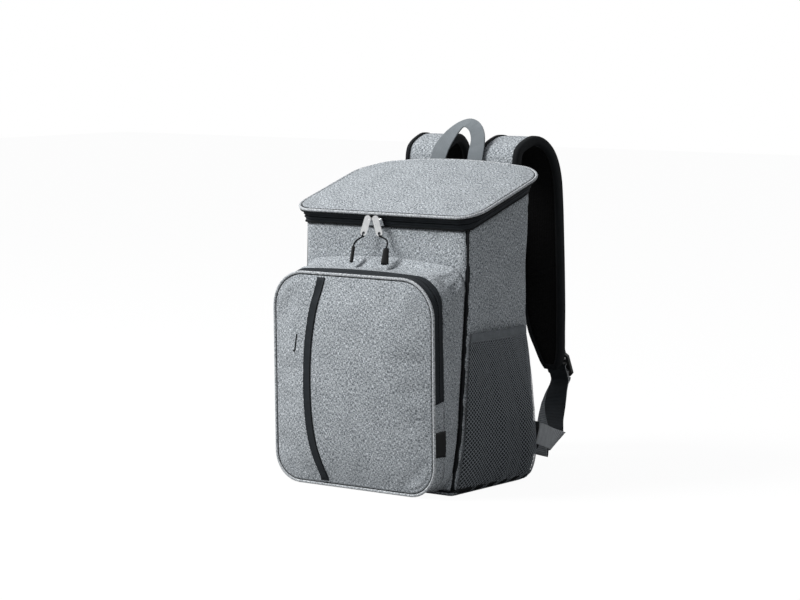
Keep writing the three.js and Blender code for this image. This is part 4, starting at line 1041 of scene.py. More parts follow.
def ridge(at, ridges):
    """How far the sewn ridges lift a strip here. Each has a middle, a height and a width."""
    return sum(height * math.exp(-((at - middle) / width) ** 2) for middle, height, width in ridges)


def gusset_strip(name, places, start, end, material, nodes, slot, out=0.0, rows=6, ridges=(), thick=1.6):
    """A strip of the gusset between two depths, with its ridges standing out."""
    def place(at, back):
        x, z = loop_point(POCKET_LOOP, at)
        out_x, out_z = loop_point(inset(POCKET_LOOP, -1), at)
        rise = out + ridge(back, ridges)
        return gusset_point(at, back) + Vector((out_x - x, 0, out_z - z)) * rise

    shape = cloth_grid(places, steps(start, end, rows), place, (0, -140, 150))
    return thicken(finish(name, shape, material, nodes, slot), thick)


lower_places = even_places(POCKET_LOOP, zip_end + 0.004 - 9, zip_start - 0.004, 6.5)
lower = gusset_strip("pocket_gusset_lower", lower_places, GUSSET_FRONT, GUSSET_REAR, canvas,
                     ["pocket_gusset_lower"], "fabric_grey", thick=1.4)
lower_run = runs([gusset_point(p, 14) * MM for p in lower_places])[-1]
print("gusset made,", round(around, 2), "m round")

# %% [markdown]
# ## Zips, pipings and bindings
# Both zips are coil zips turned over, so that their coils lie inside and the outside shows
# two tapes that meet over a narrow split. A tape is not flat: the coil's stitching and the
# sewn edge each raise a ridge. The strips are cut from the same functions as the walls. A
# dark guard lies behind the lid's split.

# %% Pocket zip
pocket_zip_places = even_places(POCKET_LOOP, zip_start, zip_end, 6)
SPLIT = GUSSET_FRONT + ZIP_WIDTH / 2
gusset_strip("pocket_zip_tape_front", pocket_zip_places, GUSSET_FRONT, SPLIT - 0.35, zip_tape,
             ["pocket_zip_tape_front"], "tape_black", rows=10, out=0.2,
             ridges=[(GUSSET_FRONT + 2.2, 0.7, 1.0), (SPLIT - 1.6, 1.5, 1.5)])
gusset_strip("pocket_zip_tape_rear", pocket_zip_places, SPLIT + 0.35, GUSSET_REAR, zip_tape,
             ["pocket_zip_tape_rear", "pocket_zip_coil"], "tape_black", rows=10, out=0.2,
             ridges=[(SPLIT + 1.6, 1.5, 1.5), (GUSSET_REAR - 1.4, 1.1, 1.2)])
print("pocket zip made")

# %% Lid zip
ZIP_TURN = 3.5


def band(name, start, end, low, high, material, nodes, slot, ridges=(), rows=8):
    places = even_places(body_loop(LID_FRONT), start, end, 6)
    shape = cloth_grid(places, steps(low, high, rows),
                       lambda at, height: band_point(at, height, 0.2 + ridge(height, ridges)),
                       (0, 0, LID_FRONT))
    return thicken(finish(name, shape, material, nodes, slot), 1.6)


BAND_SPLIT = 9.2
band("body_zip_tape", -ZIP_TURN, ZIP_TURN, 0.4, BAND_SPLIT - 0.3, zip_tape, ["body_zip_tape"],
     "tape_black", [(BAND_SPLIT - 2.2, 1.5, 1.4), (2.2, 0.9, 1.0)], 12)
band("lid_zip_tape", -ZIP_TURN, ZIP_TURN, BAND_SPLIT + 0.3, 18.4, zip_tape,
     ["lid_zip_tape", "lid_zip_coil"], "tape_black", [(BAND_SPLIT + 2.2, 1.5, 1.4), (15.6, 1.6, 1.5)], 12)
band("lid_hinge", ZIP_TURN + 0.01, 9 - ZIP_TURN - 0.01, 0.4, 18.1, canvas, ["lid_hinge"],
     "fabric_grey", [(9, 0.8, 5.0)])
rim_places = even_places(body_loop(LID_FRONT), -ZIP_TURN, ZIP_TURN, 6)
shape = cloth_grid(rim_places, steps(6, 13, 3), lambda at, height: band_point(at, height, -1.7),
                   (0, 0, LID_FRONT))
thicken(finish("lid_zip_guard", shape, binding_tape), 0.8)
print("lid zip made")

# %% [markdown]
# Piping is cord wrapped in a bias strip and sewn into a seam. Round the lid and the pocket
# it is wrapped in canvas, with a thin black edge of the zip tape below it. The two front
# seams are bound in black. Each is one tube along its seam's path.

# %% Pipings
def lid_rim(out, drop):
    """A path round the lid, so far outside its edge and below its top."""
    loop = inset(LID_LOOP, -out)
    spots = [loop_point(loop, place) for place in even_places(LID_LOOP, 0, 9, 6)[:-1]]
    return [Vector((x, y, lid_top(x, y) - drop)) for x, y in spots]


def pocket_rim(out, back):
    """A path round the pocket's face, so far outside its edge and behind it."""
    loop, path = inset(POCKET_LOOP, -out), []
    for place in even_places(POCKET_LOOP, 0, 9, 6)[:-1]:
        x, z = loop_point(loop, place)
        path.append(Vector((x, pocket_face_y(*loop_point(POCKET_LOOP, place)) + back, z)))
    return path


def piping(name, path, radius, material, slot, loops=True, up=(0, 0, 1), sides=10):
    nodes = [name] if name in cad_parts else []
    return finish(name, tube(path, radius, sides, loops, up), material, nodes, slot)


base_places = even_places(body_loop(0), 0, 9, 6)[:-1]
piping("lid_piping", lid_rim(2.5, 2.5), 2.1, canvas_piping, "piping_grey")
# Partly painted shade: a black tube in the groove beside the lid's piping, for the groove's shadow and its
# stitch line.
piping("lid_groove", lid_rim(-0.3, 1.5), 0.8, thread_black, "tape_black")
piping("lid_trim", lid_rim(1.6, 6.0), 1.3, binding_tape, "tape_black")
piping("pocket_piping", pocket_rim(2.4, 1.0), 2.0, canvas_piping, "piping_grey", up=(0, 1, 0))
# Partly painted shade: a black tube in the groove beside the pocket's piping, for the groove's shadow and
# its stitch line.
piping("pocket_groove", pocket_rim(-0.2, 1.0), 0.8, thread_black, "tape_black", up=(0, 1, 0))
piping("pocket_trim", pocket_rim(0.9, 4.2), 1.1, binding_tape, "tape_black", up=(0, 1, 0))
for name, place in (("right", SEAM_RIGHT), ("left", 9 - SEAM_LEFT)):
    piping(f"seam_piping_{name}", [wall_point(place, share, -0.8) for share in steps(0, 1, 40)], 1.3,
           binding_tape, "tape_black", loops=False, up=(0, 1, 0))
piping("band_binding", [band_point(place, 0.6, 1.2) for place in rim_places], 1.25, binding_tape,
       "tape_black", loops=False)
piping("base_binding", [Vector((*loop_point(body_loop(4, -0.5), place), 5.8)) for place in base_places],
       1.3, binding_tape, "tape_black")
print("pipings made")

# %% [markdown]
# The pocket's face carries a black tape set in a seam, as a covered zip, bowed to the left.
# A short dark raised line lies beside it. On the gusset's right a woven label is folded
# into the seam. It is bare.

# %% Strip, dark line and label
STRIP = dict(
    height=[0.035, 0.20, 0.40, 0.62, 0.80, 0.965],
    across=[-0.37, -0.47, -0.51, -0.50, -0.455, -0.385],
)


def strip_x(z):
    share = (z - POCKET_LOOP["low"]) / (POCKET_LOOP["high"] - POCKET_LOOP["low"])
    return read_table(STRIP, "height", "across", share) * POCKET_LOOP["half"]


def strip_place(across, z):
    edge = min(7 - abs(across), 2) / 2
    lip = 0.5 * math.exp(-((abs(across) - 5.6) / 0.7) ** 2)
    return on_face(strip_x(z) + across, z, 0.5 + 0.9 * edge + lip)


strip = finish("front_zip_strip", cloth_grid(
    [-7, -6.6, -6, -5.6, -5.2, -4.5, -3, -1.2, 0, 1.2, 3, 4.5, 5.2, 5.6, 6, 6.6, 7],
    steps(8.5, 287, 62), strip_place, (0, 0, 150)), zip_tape, ["front_zip_strip"], "tape_black")
thicken(strip, 1.0)
# A short dark raised line beside the strip, drawn as a thin near-black tube.
dark_line_path = smooth_path([on_face(x, z, 0.7) for x, z in (
    (-87, 208), (-88.4, 199), (-90, 189), (-91.6, 183.5), (-93.6, 185.5))], 20)
piping("bar_tack", dark_line_path, 0.75, thread_black, "webbing_black", loops=False, up=(0, 1, 0), sides=6)


def tag_place(z, back):
    at = 2 + (z - 43) / POCKET_SIDE
    point = gusset_point(at, GUSSET_FRONT + back)
    curl = 1.4 * (back / 20) ** 2 + 0.5 * math.sin(math.pi * (z - 57) / 32) * back / 20
    return point + Vector((0.6 + curl, 0, 0))


tag = finish("label_tag", cloth_grid(steps(57, 89, 12), steps(0.4, 20, 10), tag_place, (0, -140, 73)),
             woven_label, ["label_tag"], "tape_black")
thicken(tag, 0.8, 1)
print("strip, dark line and label made")

# %% [markdown]
# ## Net pockets
# Each side pocket is a knitted net with diamond holes of about 5 mm, gathered into an
# elastic. An alpha texture would lose the yarns' thickness, so the net is real: a grid is
# poked to diamonds, its square edges are dissolved away and what is left becomes thin bars.
# The gathers are upright folds that grow towards the foot. A dark sheet of painted shade,
# for the shadow inside the pocket, lies on the wall behind the net and follows its bulge
# near the seam at the back.

# %% Nets and their elastics
NET = dict(
    height=[0.00, 0.05, 0.18, 0.35, 0.60, 0.85, 1.00],
    out=[0.00, 0.62, 1.00, 0.86, 0.58, 0.42, 0.44],
)
NET_FOOT, NET_HEIGHT, NET_BULGE = 3, 217, 19
NET_RIM = NET_HEIGHT - 11
NET_FROM, NET_TOP_TO, NET_WRAP = 1.98, 3.0, 0.6
NET_PITCH, YARN = 4.7, 1.0
FOLD_DEPTH, FOLD_COUNT = 1.6, 3.5


def net_height(z):
    return (z - NET_FOOT) / (NET_HEIGHT - NET_FOOT)


def net_place(across, z):
    """Where on the body's outline the net is. Lower down it wraps further round the back."""
    wrap = NET_WRAP * min(max((1 - net_height(z)) / 0.55, 0), 1)
    return lerp(NET_FROM, NET_TOP_TO + wrap, across)


def net_point(side, across, z, lift=0.0):
    """The net starts at the front seam, bulges, and wraps the back corner to its own seam."""
    bow = max(math.sin(math.pi * across), 0) ** 0.6
    folds = FOLD_DEPTH * math.sin(2 * math.pi * FOLD_COUNT * across) * bow
    bulge = max(read_table(NET, "height", "out", net_height(z)) * (NET_BULGE * bow + folds), 0)
    x, y = loop_point(body_loop(z, -(bulge + 2.2 + lift)), net_place(across, z))
    return Vector((side * x, y, z))


def shade_sheet_point(side, across, z):
    """The dark sheet of painted shade lies on the wall in front and follows the net behind."""
    x, y = loop_point(body_loop(z, -3.2), net_place(across, z))
    flat, bulged = Vector((side * x, y, z)), net_point(side, across, z, -1.3)
    return flat.lerp(bulged, min(max((across - 0.6) / 0.25, 0), 1))


def net(side, name):
    width, height = 190, NET_RIM - NET_FOOT
    across, up = round(width / NET_PITCH), round(height / (NET_PITCH * 1.25))
    shape = cloth_grid(steps(0, 1, across), steps(0, 1, up),
                       lambda a, b: (a * 100, b * 100, 0), (0, 0, -1))
    square = shape.edges[:]
    bmesh.ops.poke(shape, faces=shape.faces[:])
    bmesh.ops.dissolve_edges(shape, edges=[e for e in square if not e.is_boundary], use_verts=False)
    flat = shape.loops.layers.uv.active
    for face in shape.faces:
        for corner in face.loops:
            spot = corner.vert.co
            corner[flat].uv = (spot.x / 0.1 * width * MM, spot.y / 0.1 * height * MM)
    for vertex in shape.verts:
        a, b = vertex.co.x / 0.1, vertex.co.y / 0.1
        gather = 1.0 * math.sin(2 * math.pi * 9 * a + 3 * b) * math.sin(math.pi * a) * max(1 - b, 0) ** 0.5
        vertex.co = net_point(side, a, lerp(NET_FOOT, NET_RIM, b), 0.4 + gather) * MM
    bmesh.ops.wireframe(shape, faces=shape.faces[:], thickness=YARN * MM, offset=0, use_replace=True,
                        use_boundary=True, use_even_offset=False, use_relative_offset=False)
    bmesh.ops.recalc_face_normals(shape, faces=shape.faces[:])
    piece = finish(f"net_{name}", shape, net_yarn, [f"mesh_pocket_{name}"], "net_grey", smooth=False)
    print(piece.name, "has", len(piece.data.polygons), "faces")


def net_trim(label, across, heights, place, thickness, material, *dressing):
    shape = cloth_grid(across, heights, place, (0, 0, 110))
    thicken(finish(label, shape, material, *dressing), thickness)


for side, name in SIDES:
    net(side, name)
    # Painted shade: a dark sheet on the wall inside the net pocket, where its shadow falls.
    net_trim(f"net_backing_{name}", steps(0, 1, 40), steps(NET_FOOT, NET_RIM, 24),
             lambda a, z: shade_sheet_point(side, a, z), 0.8, net_shade_sheet)
    net_trim(f"elastic_{name}", steps(0, 1, 104), steps(NET_RIM, NET_HEIGHT, 6),
             lambda a, z: net_point(side, a, z, 1.0 + 0.35 * math.sin(2 * math.pi * 26 * a)), 2.2,
             elastic_band, [f"pocket_elastic_{name}"], "webbing_grey")
    net_trim(f"net_hem_{name}", steps(0, 1, 60), steps(NET_FOOT, NET_FOOT + 7, 3),
             lambda a, z: net_point(side, a, z, 0.9), 1.2, binding_tape)
    net_trim(f"net_seam_{name}", [0.965, 0.982, 1], steps(NET_FOOT, NET_HEIGHT, 40),
             lambda a, z: net_point(side, a, z, 0.8), 1.2, binding_tape)

# %% [markdown]
# ## Shoulder straps
# A strap is foam between a canvas cover and a spacer mesh, and black tape is folded over
# its edges. Sections along the strap's middle line carry all three. Seen from the front it
# shows its canvas at the top and its mesh below, where it hangs behind the bag. The tape
# wraps 7 mm onto each face, so it is drawn as a hoop round each edge.

# %% Strap sections
STRAP = dict(
    place=[0, .02, .04, .06, .09, .13, .18, .23, .28, .33, .38, .44, .60, .78, .86, .92, .97, 1],
    reach=[.006, .029, .062, .086, .105, .170, .340, .520, .700, .850, .945, .980, .995, .998, 1, 1, 1, 1],
    rise=[.689, .727, .795, .862, .921, .958, .987, 1, .985,
          .945, .880, .790, .540, .270, .150, .075, .022, 0],
    spread=[0, 0, 0, 0, 0, .02, .06, .14, .30, .48, .65, .82, .98, 1.10, 1.34, 1.66, 1.83, 1.83],
    width=[1, 1, 1, 1, 1, 1, 1, 1, 1, 1, 1, 1, 1, 1, .86, .68, .50, .34],
)
STRAP_SPACING, STRAP_WIDTH, STRAP_THICKNESS, STRAP_REACH = 128, 65, 12, 105.5
STRAP_END, STRAP_TOP, STRAP_SPREAD = 141, 470.5, 18
BINDING_REACH = 7


def strap_middle(side, place):
    return Vector((
        side * (STRAP_SPACING / 2 + STRAP_SPREAD * read_table(STRAP, "place", "spread", place)),
        BACK_Y + STRAP_REACH * read_table(STRAP, "place", "reach", place),
        lerp(STRAP_END, STRAP_TOP, read_table(STRAP, "place", "rise", place)),
    ))


def strap_frame(side, place):
    along = strap_middle(side, min(place + 0.004, 1)) - strap_middle(side, max(place - 0.004, 0))
    along.x = 0
    outward = Vector((1, 0, 0)).cross(along.normalized())
    half = STRAP_WIDTH / 2 * read_table(STRAP, "place", "width", place)
    return strap_middle(side, place), outward, half


def strap_point(side, place, across, depth):
    """A point of the strap, with depth 0 on the cover's face and across in mm."""
    centre, outward, _ = strap_frame(side, place)
    return centre + Vector((across, 0, 0)) - outward * depth


def strap_face(side, place, share, depth, swell):
    """share runs from edge to edge; the foam swells between the sewn edges."""
    half = strap_frame(side, place)[2] - 1.0
    away = half * (1 - abs(share))
    rise = swell * (1 - math.exp(-max(away - 4.5, 0) / 5.0))
    return strap_point(side, place, half * share, depth - rise)


STRAP_PLACES = steps(0, 0.4, 60)[:-1] + steps(0.4, 0.8, 36)[:-1] + steps(0.8, 0.995, 24)
STRAP_SHARES = [-1, -.97, -.93, -.88, -.8, -.65, -.45, -.2, 0, .2, .45, .65, .8, .88, .93, .97, 1]


BINDING_HOOP = [(0, BINDING_REACH), (0, 4), (0.1, 1.6), (1.4, 0.2), (4, -0.2),
                (8, -0.2), (10.6, 0.2), (11.9, 1.6), (12, 4), (12, BINDING_REACH)]
BINDING_PATH = [(at, 1) for at in STRAP_PLACES] + [
    (0.998, .75), (1.0, 0.3), (1.0, -0.3), (0.998, -.75)] + [(at, -1) for at in reversed(STRAP_PLACES)]


def shoulder_strap(side, name):
    cover = cloth_grid(STRAP_SHARES, STRAP_PLACES, lambda share, at: strap_face(side, at, share, 1.4, 1.2),
                       strap_point(side, 0.5, 0, 12))
    cover = finish(f"strap_cover_{name}", cover, canvas, [f"strap_cover_{name}"], "fabric_grey")
    thicken(cover, 2)
    pad = cloth_grid(STRAP_SHARES, STRAP_PLACES,
                     lambda share, at: strap_face(side, at, share, STRAP_THICKNESS - 1.0, -1.0),
                     strap_point(side, 0.5, 0, 0))
    pad = finish(f"strap_pad_{name}", pad, spacer_mesh, [f"strap_pad_{name}"], "tape_black")
    thicken(pad, 7)

    def edge(step, row):
        (at, way), (depth, reach) = BINDING_PATH[step], BINDING_HOOP[row]
        centre, outward, half = strap_frame(side, at)
        across, drop = way * (half - reach), 0
        if abs(way) < 1:
            across, drop = way * half, 3.4 - 0.5 * (1 - abs(way)) - reach
        return centre + Vector((across, 0, -drop)) - outward * depth

    binding = cloth_grid(list(range(len(BINDING_PATH))), list(range(len(BINDING_HOOP))), edge,
                         strap_point(side, 0.5, 0, 6))
    bmesh.ops.recalc_face_normals(binding, faces=binding.faces[:])
    binding = finish(f"strap_binding_{name}", binding, binding_tape, [f"strap_binding_{name}"],
                     "webbing_black")
    thicken(binding, 0.9, 1)


for side, name in SIDES:
    shoulder_strap(side, name)
print("straps made")

# %% [markdown]
# ## Ladder locks and webbing
# The lock is a moulded frame with bars. Its CAD solid is already exact, so a merged copy of
# that mesh is taken and its edges are bevelled, which is truer than a new model. The
# webbing goes up behind the lock, over the middle bar and down again as a loose tail. Its
# routes are rows of a middle point and half a width, as in the CAD part.

# %% Ladder locks
WEBBING_WIDTH, TILT = 30, math.radians(25)
LOCK_UP = Vector((0, -math.sin(TILT), math.cos(TILT)))
LOCK_OUT = Vector((0, math.cos(TILT), math.sin(TILT)))
LOCK_THICKNESS, LOCK_FOOT, LOCK_HEAD = 5, -16, 21
LOCK_EYE = Vector((STRAP_SPACING / 2 + STRAP_SPREAD * 1.83, 209.5, 158))


def lock_point(side, up, out):
    eye = Vector((side * LOCK_EYE.x, LOCK_EYE.y, LOCK_EYE.z))
    return eye + LOCK_UP * (up - LOCK_HEAD + 2) + LOCK_OUT * out


def lock(side, name):
    node = bpy.data.objects[f"ladder_lock_{name}"]
    shape = bmesh.new()
    shape.from_mesh(node.data)
    bmesh.ops.remove_doubles(shape, verts=shape.verts[:], dist=1e-5)
    bmesh.ops.transform(shape, matrix=node.matrix_world, verts=shape.verts[:])
    bmesh.ops.dissolve_limit(shape, angle_limit=0.01, verts=shape.verts[:], edges=shape.edges[:])
    shape.loops.layers.uv.new("cloth")
    bevel_all(shape, 0.7, 2, 40)
    ribs = bmesh.new()
    for rib in range(6):
        made = block(ribs, (27, 1.0, 0.7), (0, 0, 0))
        bmesh.ops.rotate(ribs, verts=made, cent=(0, 0, 0), matrix=Matrix.Rotation(TILT, 3, "X"))
        bmesh.ops.translate(ribs, verts=made, vec=lock_point(side, -15.2 + rib * 0.75, 2.5) * MM)
    join(shape, ribs)
    return finish(f"lock_{name}", shape, acetal, [f"ladder_lock_{name}"], "plastic_black", smooth=False)


for side, name in SIDES:
    lock(side, name)
print("locks made")

# %% Webbing as rows of a middle and half a width
def between_rows(rows, parts):
    """Smooth rows between the given ones, both for their middles and their half widths."""
    return list(zip(*(smooth_path(column, (len(rows) - 1) * parts) for column in zip(*rows))))


def ribbon(name, rows, thickness, looks, nodes, slot, parts=3):
    """A band of webbing. looks holds the material of its face and, after it, of its back."""
    rows = between_rows(rows, parts)
    shares = [-1, -0.94, -0.8, -0.4, 0, 0.4, 0.8, 0.94, 1]
    middle = sum((row[0] for row in rows), Vector()) / len(rows)
    shape = cloth_grid(shares, list(range(len(rows))),
                       lambda share, k: rows[k][0] + rows[k][1] * share, middle)
    piece = finish(name, shape, looks[0], nodes, slot)
    solid = thicken(piece, thickness, 0).modifiers["thickness"]
    for look in looks[1:]:
        piece.data.materials.append(look)
        solid.material_offset = 1
    return piece


FOLD_ANGLE, FOLD_SLOPE, FOLD_HEIGHT = math.radians(80), math.radians(36), 38
FOLD_X, FOLD_Y, TAIL_X, TAIL_Y = 117, BACK_Y + 83.5, 89, BACK_Y + 84.5
RETURN_LENGTH, RETURN_SPREAD, FOLD_RADIUS = 58, 13.5, 1.5
SLOTS = [(-11, -4.5), (0.5, 7), (11.5, 17)]


def webbing_rows(side):
    """The CAD part's route: the free tail, the lock's bars, the run down, the fold, the return."""
    inner = -(LOCK_THICKNESS / 2 + GAP + 0.8)
    outer = inner - 1.6 - GAP
    upper, lower = sum(SLOTS[1]) / 2, sum(SLOTS[0]) / 2
    flat = Vector((side * WEBBING_WIDTH / 2, 0, 0))
    tail = Vector((side * TAIL_X, TAIL_Y, 0))
    rows = [
        (tail + Vector((0, 0, 14)), Vector((side * 14, -5, 0))),
        (tail + Vector((0, 3, 40)), Vector((side * 14, -5, 0))),
        (tail + Vector((-side, 23, 85)), Vector((side * 14.6, -2.5, 0))),
    ]
    for up, out in (
            (LOCK_FOOT - 6, inner), (LOCK_FOOT, inner), (lower - 2.6, inner), (lower - 0.6, inner + 0.9),
            (lower + 0.1, 0), (lower + 0.7, -inner - 1.0), (lower + 2.6, -inner), (upper - 2.6, -inner),
            (upper - 0.6, -inner - 0.9), (upper, -inner - 3), (upper, outer + 2.5),
            (upper - 0.8, outer + 0.8), (upper - 2.8, outer), (LOCK_FOOT, outer)):
        rows.append((lock_point(side, up, out), flat))
    level = Vector((side * math.cos(FOLD_ANGLE), math.sin(FOLD_ANGLE), 0))
    facing = Vector((0, 0, 1)).cross(level) * side
    fold = Vector((side * FOLD_X, FOLD_Y, FOLD_HEIGHT))
    start = lock_point(side, LOCK_FOOT - 6, outer - 2)
    end = fold + Vector((0, 0, 16)) + facing * FOLD_RADIUS
    for share in steps(0, 1, 6):
        angle = FOLD_ANGLE * share * share * (3 - 2 * share)
        bow = Vector((0, -7 * math.sin(math.pi * share), 0))
        half = Vector((side * math.cos(angle), math.sin(angle), 0)) * WEBBING_WIDTH / 2
        rows.append((start.lerp(end, share) + bow, half))
    line = level * math.cos(FOLD_SLOPE) + Vector((0, 0, math.sin(FOLD_SLOPE)))
    fold_out = line.cross(facing) * -side
    for degrees in (180, 150, 90, 30, 0):
        angle = math.radians(degrees)
        middle = (fold - facing * FOLD_RADIUS * math.cos(angle)
                  + fold_out * FOLD_RADIUS * math.sin(angle))
        rows.append((middle, line * (WEBBING_WIDTH / 2 / math.cos(FOLD_SLOPE))))
    back = level * -math.cos(2 * FOLD_SLOPE - math.pi / 2) + Vector((0, 0, math.cos(2 * FOLD_SLOPE)))
    raised = level * math.cos(2 * FOLD_SLOPE) + Vector((0, 0, math.cos(2 * FOLD_SLOPE - math.pi / 2)))
    for share in (0.25, 0.45, 0.65, 0.82, 1):
        middle = fold - facing * FOLD_RADIUS + back * RETURN_LENGTH * share
        middle.x += side * RETURN_SPREAD * share * share * (3 - 2 * share)
        rows.append((middle, raised * WEBBING_WIDTH / 2))
    return rows


def lock_loop(side, name):
    half = Vector((WEBBING_WIDTH / 2 - 1, 0, 0))
    eye = lock_point(side, (SLOTS[2][1] + LOCK_HEAD) / 2, 0)
    radius = LOCK_THICKNESS / 2 + 2 * GAP + 0.8 + 0.5
    face_y = BACK_Y + STRAP_REACH + GAP + 0.8
    path = [Vector((eye.x, face_y + 0.2, STRAP_END + rise)) for rise in (54, 37)]
    for degrees in steps(-75, 90, 7):
        angle = math.radians(degrees)
        path.append(eye + Vector((0, 0, -1)) * radius * math.cos(angle)
                    + Vector((0, 1, 0)) * radius * math.sin(angle))
    path += [Vector((eye.x, face_y + 1.6 + GAP + 0.6, STRAP_END + rise)) for rise in (35, 54)]
    ribbon(f"lock_loop_{name}", [(point, half) for point in path], 1.5, [black_webbing],
           [f"lock_loop_{name}"], "webbing_black")


def tail_hem(side, name):
    """The tail's end is turned over twice and sewn down."""
    tail = Vector((side * TAIL_X, TAIL_Y, 0))
    half = Vector((side * 14, -5, 0))
    off = Vector((0, 0, 1)).cross(half).normalized() * side
    rows = [(tail + Vector((0, back, up)) + off * out, half * 1.01) for back, up, out in (
        (0.2, 13.2, 1.2), (0.6, 18, 1.8), (1.4, 25, 1.8), (2, 31, 1.6))]
    ribbon(f"tail_hem_{name}", rows, 1.5, [black_webbing], [], "webbing_black")


WING_ROOT = dict(x=118, low=10, high=80)
WING_TIP = dict(x=120.8, y=BACK_Y + 31.5, low=38, high=72)


def wing(side, name):
    corner_x = WING_ROOT["x"] - (half_width(WING_ROOT["high"]) - 38)
    root_y = BACK_Y - 38 + math.sqrt(38 ** 2 - corner_x ** 2) + 1.2

    def place(share, up):
        lean = lerp(WING_ROOT["x"], WING_TIP["x"], share)
        low, high = (lerp(WING_ROOT[key], WING_TIP[key], share) for key in ("low", "high"))
        edge = 0.5 * math.exp(-(min(up, 1 - up) * (high - low) / 2.5) ** 2)
        return Vector((side * (lean + 1.0 + edge), lerp(root_y, WING_TIP["y"], share),
                       lerp(low, high, up)))

    shape = cloth_grid(steps(0, 1, 10), [0, .02, .05, .1, .2, .35, .5, .65, .8, .9, .95, .98, 1], place,
                       (0, WING_TIP["y"], 50))
    thicken(finish(f"wing_{name}", shape, binding_tape, [f"strap_anchor_{name}"], "tape_black"), 2)


for side, name in SIDES:
    lock_loop(side, name)
    looks = [ribbed_webbing, black_webbing][::side]
    ribbon(f"webbing_{name}", webbing_rows(side), 1.5, looks, [f"strap_web_{name}"], "webbing_black")
    tail_hem(side, name)
    wing(side, name)
print("webbing made")

# %% Carry handle
# Each row: x in mm, share of the rise, share of the lean, share of the turn, share of the width.
HANDLE = [
    (32.5, 0.00, 0.00, 0, 1), (32.5, 0.13, 0.03, 0, 1), (27.5, 0.26, 0.18, 0, 1),
    (27.8, 0.42, 0.19, 0, 1), (28.6, 0.56, 0.24, 0.05, 1), (29.6, 0.68, 0.34, 0.2, 0.97),
    (28.2, 0.79, 0.48, 0.45, 0.9), (22, 0.885, 0.66, 0.7, 0.8), (12, 0.945, 0.84, 0.9, 0.72),
    (1, 0.965, 0.94, 1, 0.7), (-10, 0.925, 0.92, 0.92, 0.74), (-19.5, 0.84, 0.74, 0.72, 0.84),
    (-27, 0.73, 0.5, 0.45, 0.93), (-32.5, 0.62, 0.32, 0.2, 1), (-36, 0.5, 0.22, 0.05, 1),
    (-37.3, 0.38, 0.19, 0, 1), (-37.5, 0.26, 0.18, 0, 1), (-32.5, 0.13, 0.03, 0, 1),
    (-32.5, 0.00, 0.00, 0, 1),
]
HANDLE_WIDTH, HANDLE_FOOT, HANDLE_TOP, HANDLE_LEAN = 25, 383, 492, 25
CROWN_TURN = math.radians(90 - 37)


def handle_rows():
    path = [Vector((x, BACK_Y + GAP + 0.8 + HANDLE_LEAN * lean, lerp(HANDLE_FOOT, HANDLE_TOP, rise)))
            for x, rise, lean, _, _ in HANDLE]
    rows = []
    for k, (middle, (*_, turn, wide)) in enumerate(zip(path, HANDLE)):
        before, after = path[max(k - 1, 0)], path[min(k + 1, len(path) - 1)]
        angle = CROWN_TURN * turn
        facing = Vector((0, -math.cos(angle), math.sin(angle)))
        across = (after - before).normalized().cross(facing).normalized()
        rows.append((middle, across * HANDLE_WIDTH / 2 * wide))
    return rows


ribbon("handle", handle_rows(), 1.7, [grey_webbing], ["carry_handle"], "webbing_grey", parts=4)
print("handle made")

# %% Pocket slider
pocket_slide = gusset_point(zip_end - 0.03, GUSSET_FRONT + ZIP_WIDTH / 2)
pocket_slide.x -= 2 * GAP + 1.4 + 3.6
slider("pocket", "pocket_zip_slider", tuple(pocket_slide), turn=math.radians(-90))
print("pocket slider made")

# %% [markdown]
# ## Stitches
# Lockstitches 2.6 mm long hold the pocket's black tape, the straps' covers and the hems of
# the webbing's tails. A stitch is a short six-sided rod laid just above the cloth. One
# function lays them along any line of points, so that every seam has the same thread.

# %% Stitching
STITCH_PITCH, STITCH_LENGTH, THREAD_RADIUS = 3.6, 2.6, 0.28


def stitches(name, points):
    """Rods along points in mm, each as long as one stitch."""
    run = runs(points)
    shape = bmesh.new()
    k = 0
    for count in range(int(run[-1] / STITCH_PITCH)):
        at = (count + 0.5) * STITCH_PITCH
        while k < len(run) - 2 and run[k + 1] < at:
            k += 1
        along = points[k + 1] - points[k]
        middle = points[k].lerp(points[k + 1], (at - run[k]) / max(run[k + 1] - run[k], 1e-6))
        turn = Matrix.LocRotScale(middle * MM, along.to_track_quat("Z", "Y"), None)
        bmesh.ops.create_cone(shape, cap_ends=True, segments=6, radius1=THREAD_RADIUS * MM,
                              radius2=THREAD_RADIUS * MM, depth=STITCH_LENGTH * MM, matrix=turn)
    shape.loops.layers.uv.new("cloth")
    return finish(f"stitches_{name}", shape, thread_black)


for way, edge in SIDES[::-1]:
    stitches(f"strip_{edge}",
             [strip_place(way * 5.9, z) + Vector((0, -0.15, 0)) for z in steps(14, 281, 80)])
for side, name in SIDES:
    for way, edge in SIDES[::-1]:
        stitches(f"strap_{name}_{edge}",
                 [strap_face(side, at, way * 0.83, 1.2, 1.2) for at in steps(0.01, 0.85, 90)])
    stitches(f"tail_{name}", [Vector((side * (TAIL_X + 12 * share), TAIL_Y - 4.3 * share + 5.5, 29))
                              for share in steps(-1, 1, 8)])
print("stitches made")

# %% [markdown]
# ## Floor and light
# The bag stands on a white sweep that melts into a white background. A large soft light
# from the upper left front makes the lid and the front the brightest sides, and the right
# side stays about half as bright, as in the photograph.

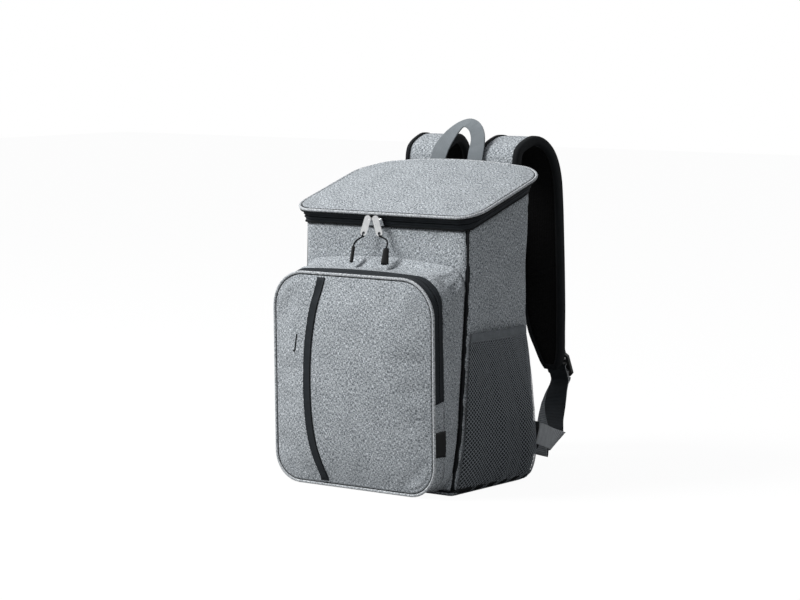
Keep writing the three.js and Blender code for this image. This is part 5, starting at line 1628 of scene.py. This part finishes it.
# %% Floor and light
WORLD_LIGHT, FLOOR_SHADE, FLOOR_GLOW = 0.295, 0.15, 1.12
KEY_PLACE, KEY_TARGET, KEY_SIZE, KEY_POWER = Vector((-1.5, -1.65, 2.6)), Vector((0, 0, 0.25)), 1.2, 110


def ray_kind(tree, kind):
    return tree.nodes.new("ShaderNodeLightPath").outputs[kind]


shape = bmesh.new()
bmesh.ops.create_grid(shape, x_segments=1, y_segments=1, size=8)
floor = bpy.data.meshes.new("floor")
shape.to_mesh(floor)
shape.free()
ground = bpy.data.objects.new("floor", floor)
scene.collection.objects.link(ground)
paper = new_material("matt_white_paper", 0.95)
paper.node_tree.nodes["Principled BSDF"].inputs["Base Color"].default_value = (0.4, 0.4, 0.4, 1)
bright = add(paper, "Emission", {"Color": (1, 1, 1, 1), "Strength": FLOOR_GLOW})
seen = add(paper, "Math", {
    0: ray_kind(paper.node_tree, "Is Camera Ray"), 1: 1 - FLOOR_SHADE}, operation="MULTIPLY")
both = add(paper, "MixShader", {
    0: seen, 1: paper.node_tree.nodes["Principled BSDF"].outputs[0], 2: bright})
paper.node_tree.links.new(both, paper.node_tree.nodes["Material Output"].inputs["Surface"])
floor.materials.append(paper)
world = bpy.data.worlds.new("studio")
scene.world = world
world.use_nodes = True
mix = world.node_tree.nodes.new("ShaderNodeMix")
mix.data_type = "RGBA"
world.node_tree.links.new(ray_kind(world.node_tree, "Is Diffuse Ray"), mix.inputs[0])
mix.inputs[6].default_value = (1, 1, 1, 1)
mix.inputs[7].default_value = (WORLD_LIGHT, WORLD_LIGHT * 1.02, WORLD_LIGHT * 1.05, 1)
world.node_tree.links.new(mix.outputs[2], world.node_tree.nodes["Background"].inputs["Color"])
scene.view_settings.view_transform = "Standard"
lamp = bpy.data.lights.new("key", "AREA")
lamp.shape, lamp.size, lamp.energy = "DISK", KEY_SIZE, KEY_POWER
key = bpy.data.objects.new("key", lamp)
scene.collection.objects.link(key)
key.location = KEY_PLACE
key.rotation_euler = (KEY_TARGET - KEY_PLACE).to_track_quat("-Z", "Y").to_euler()
print("floor and light made")
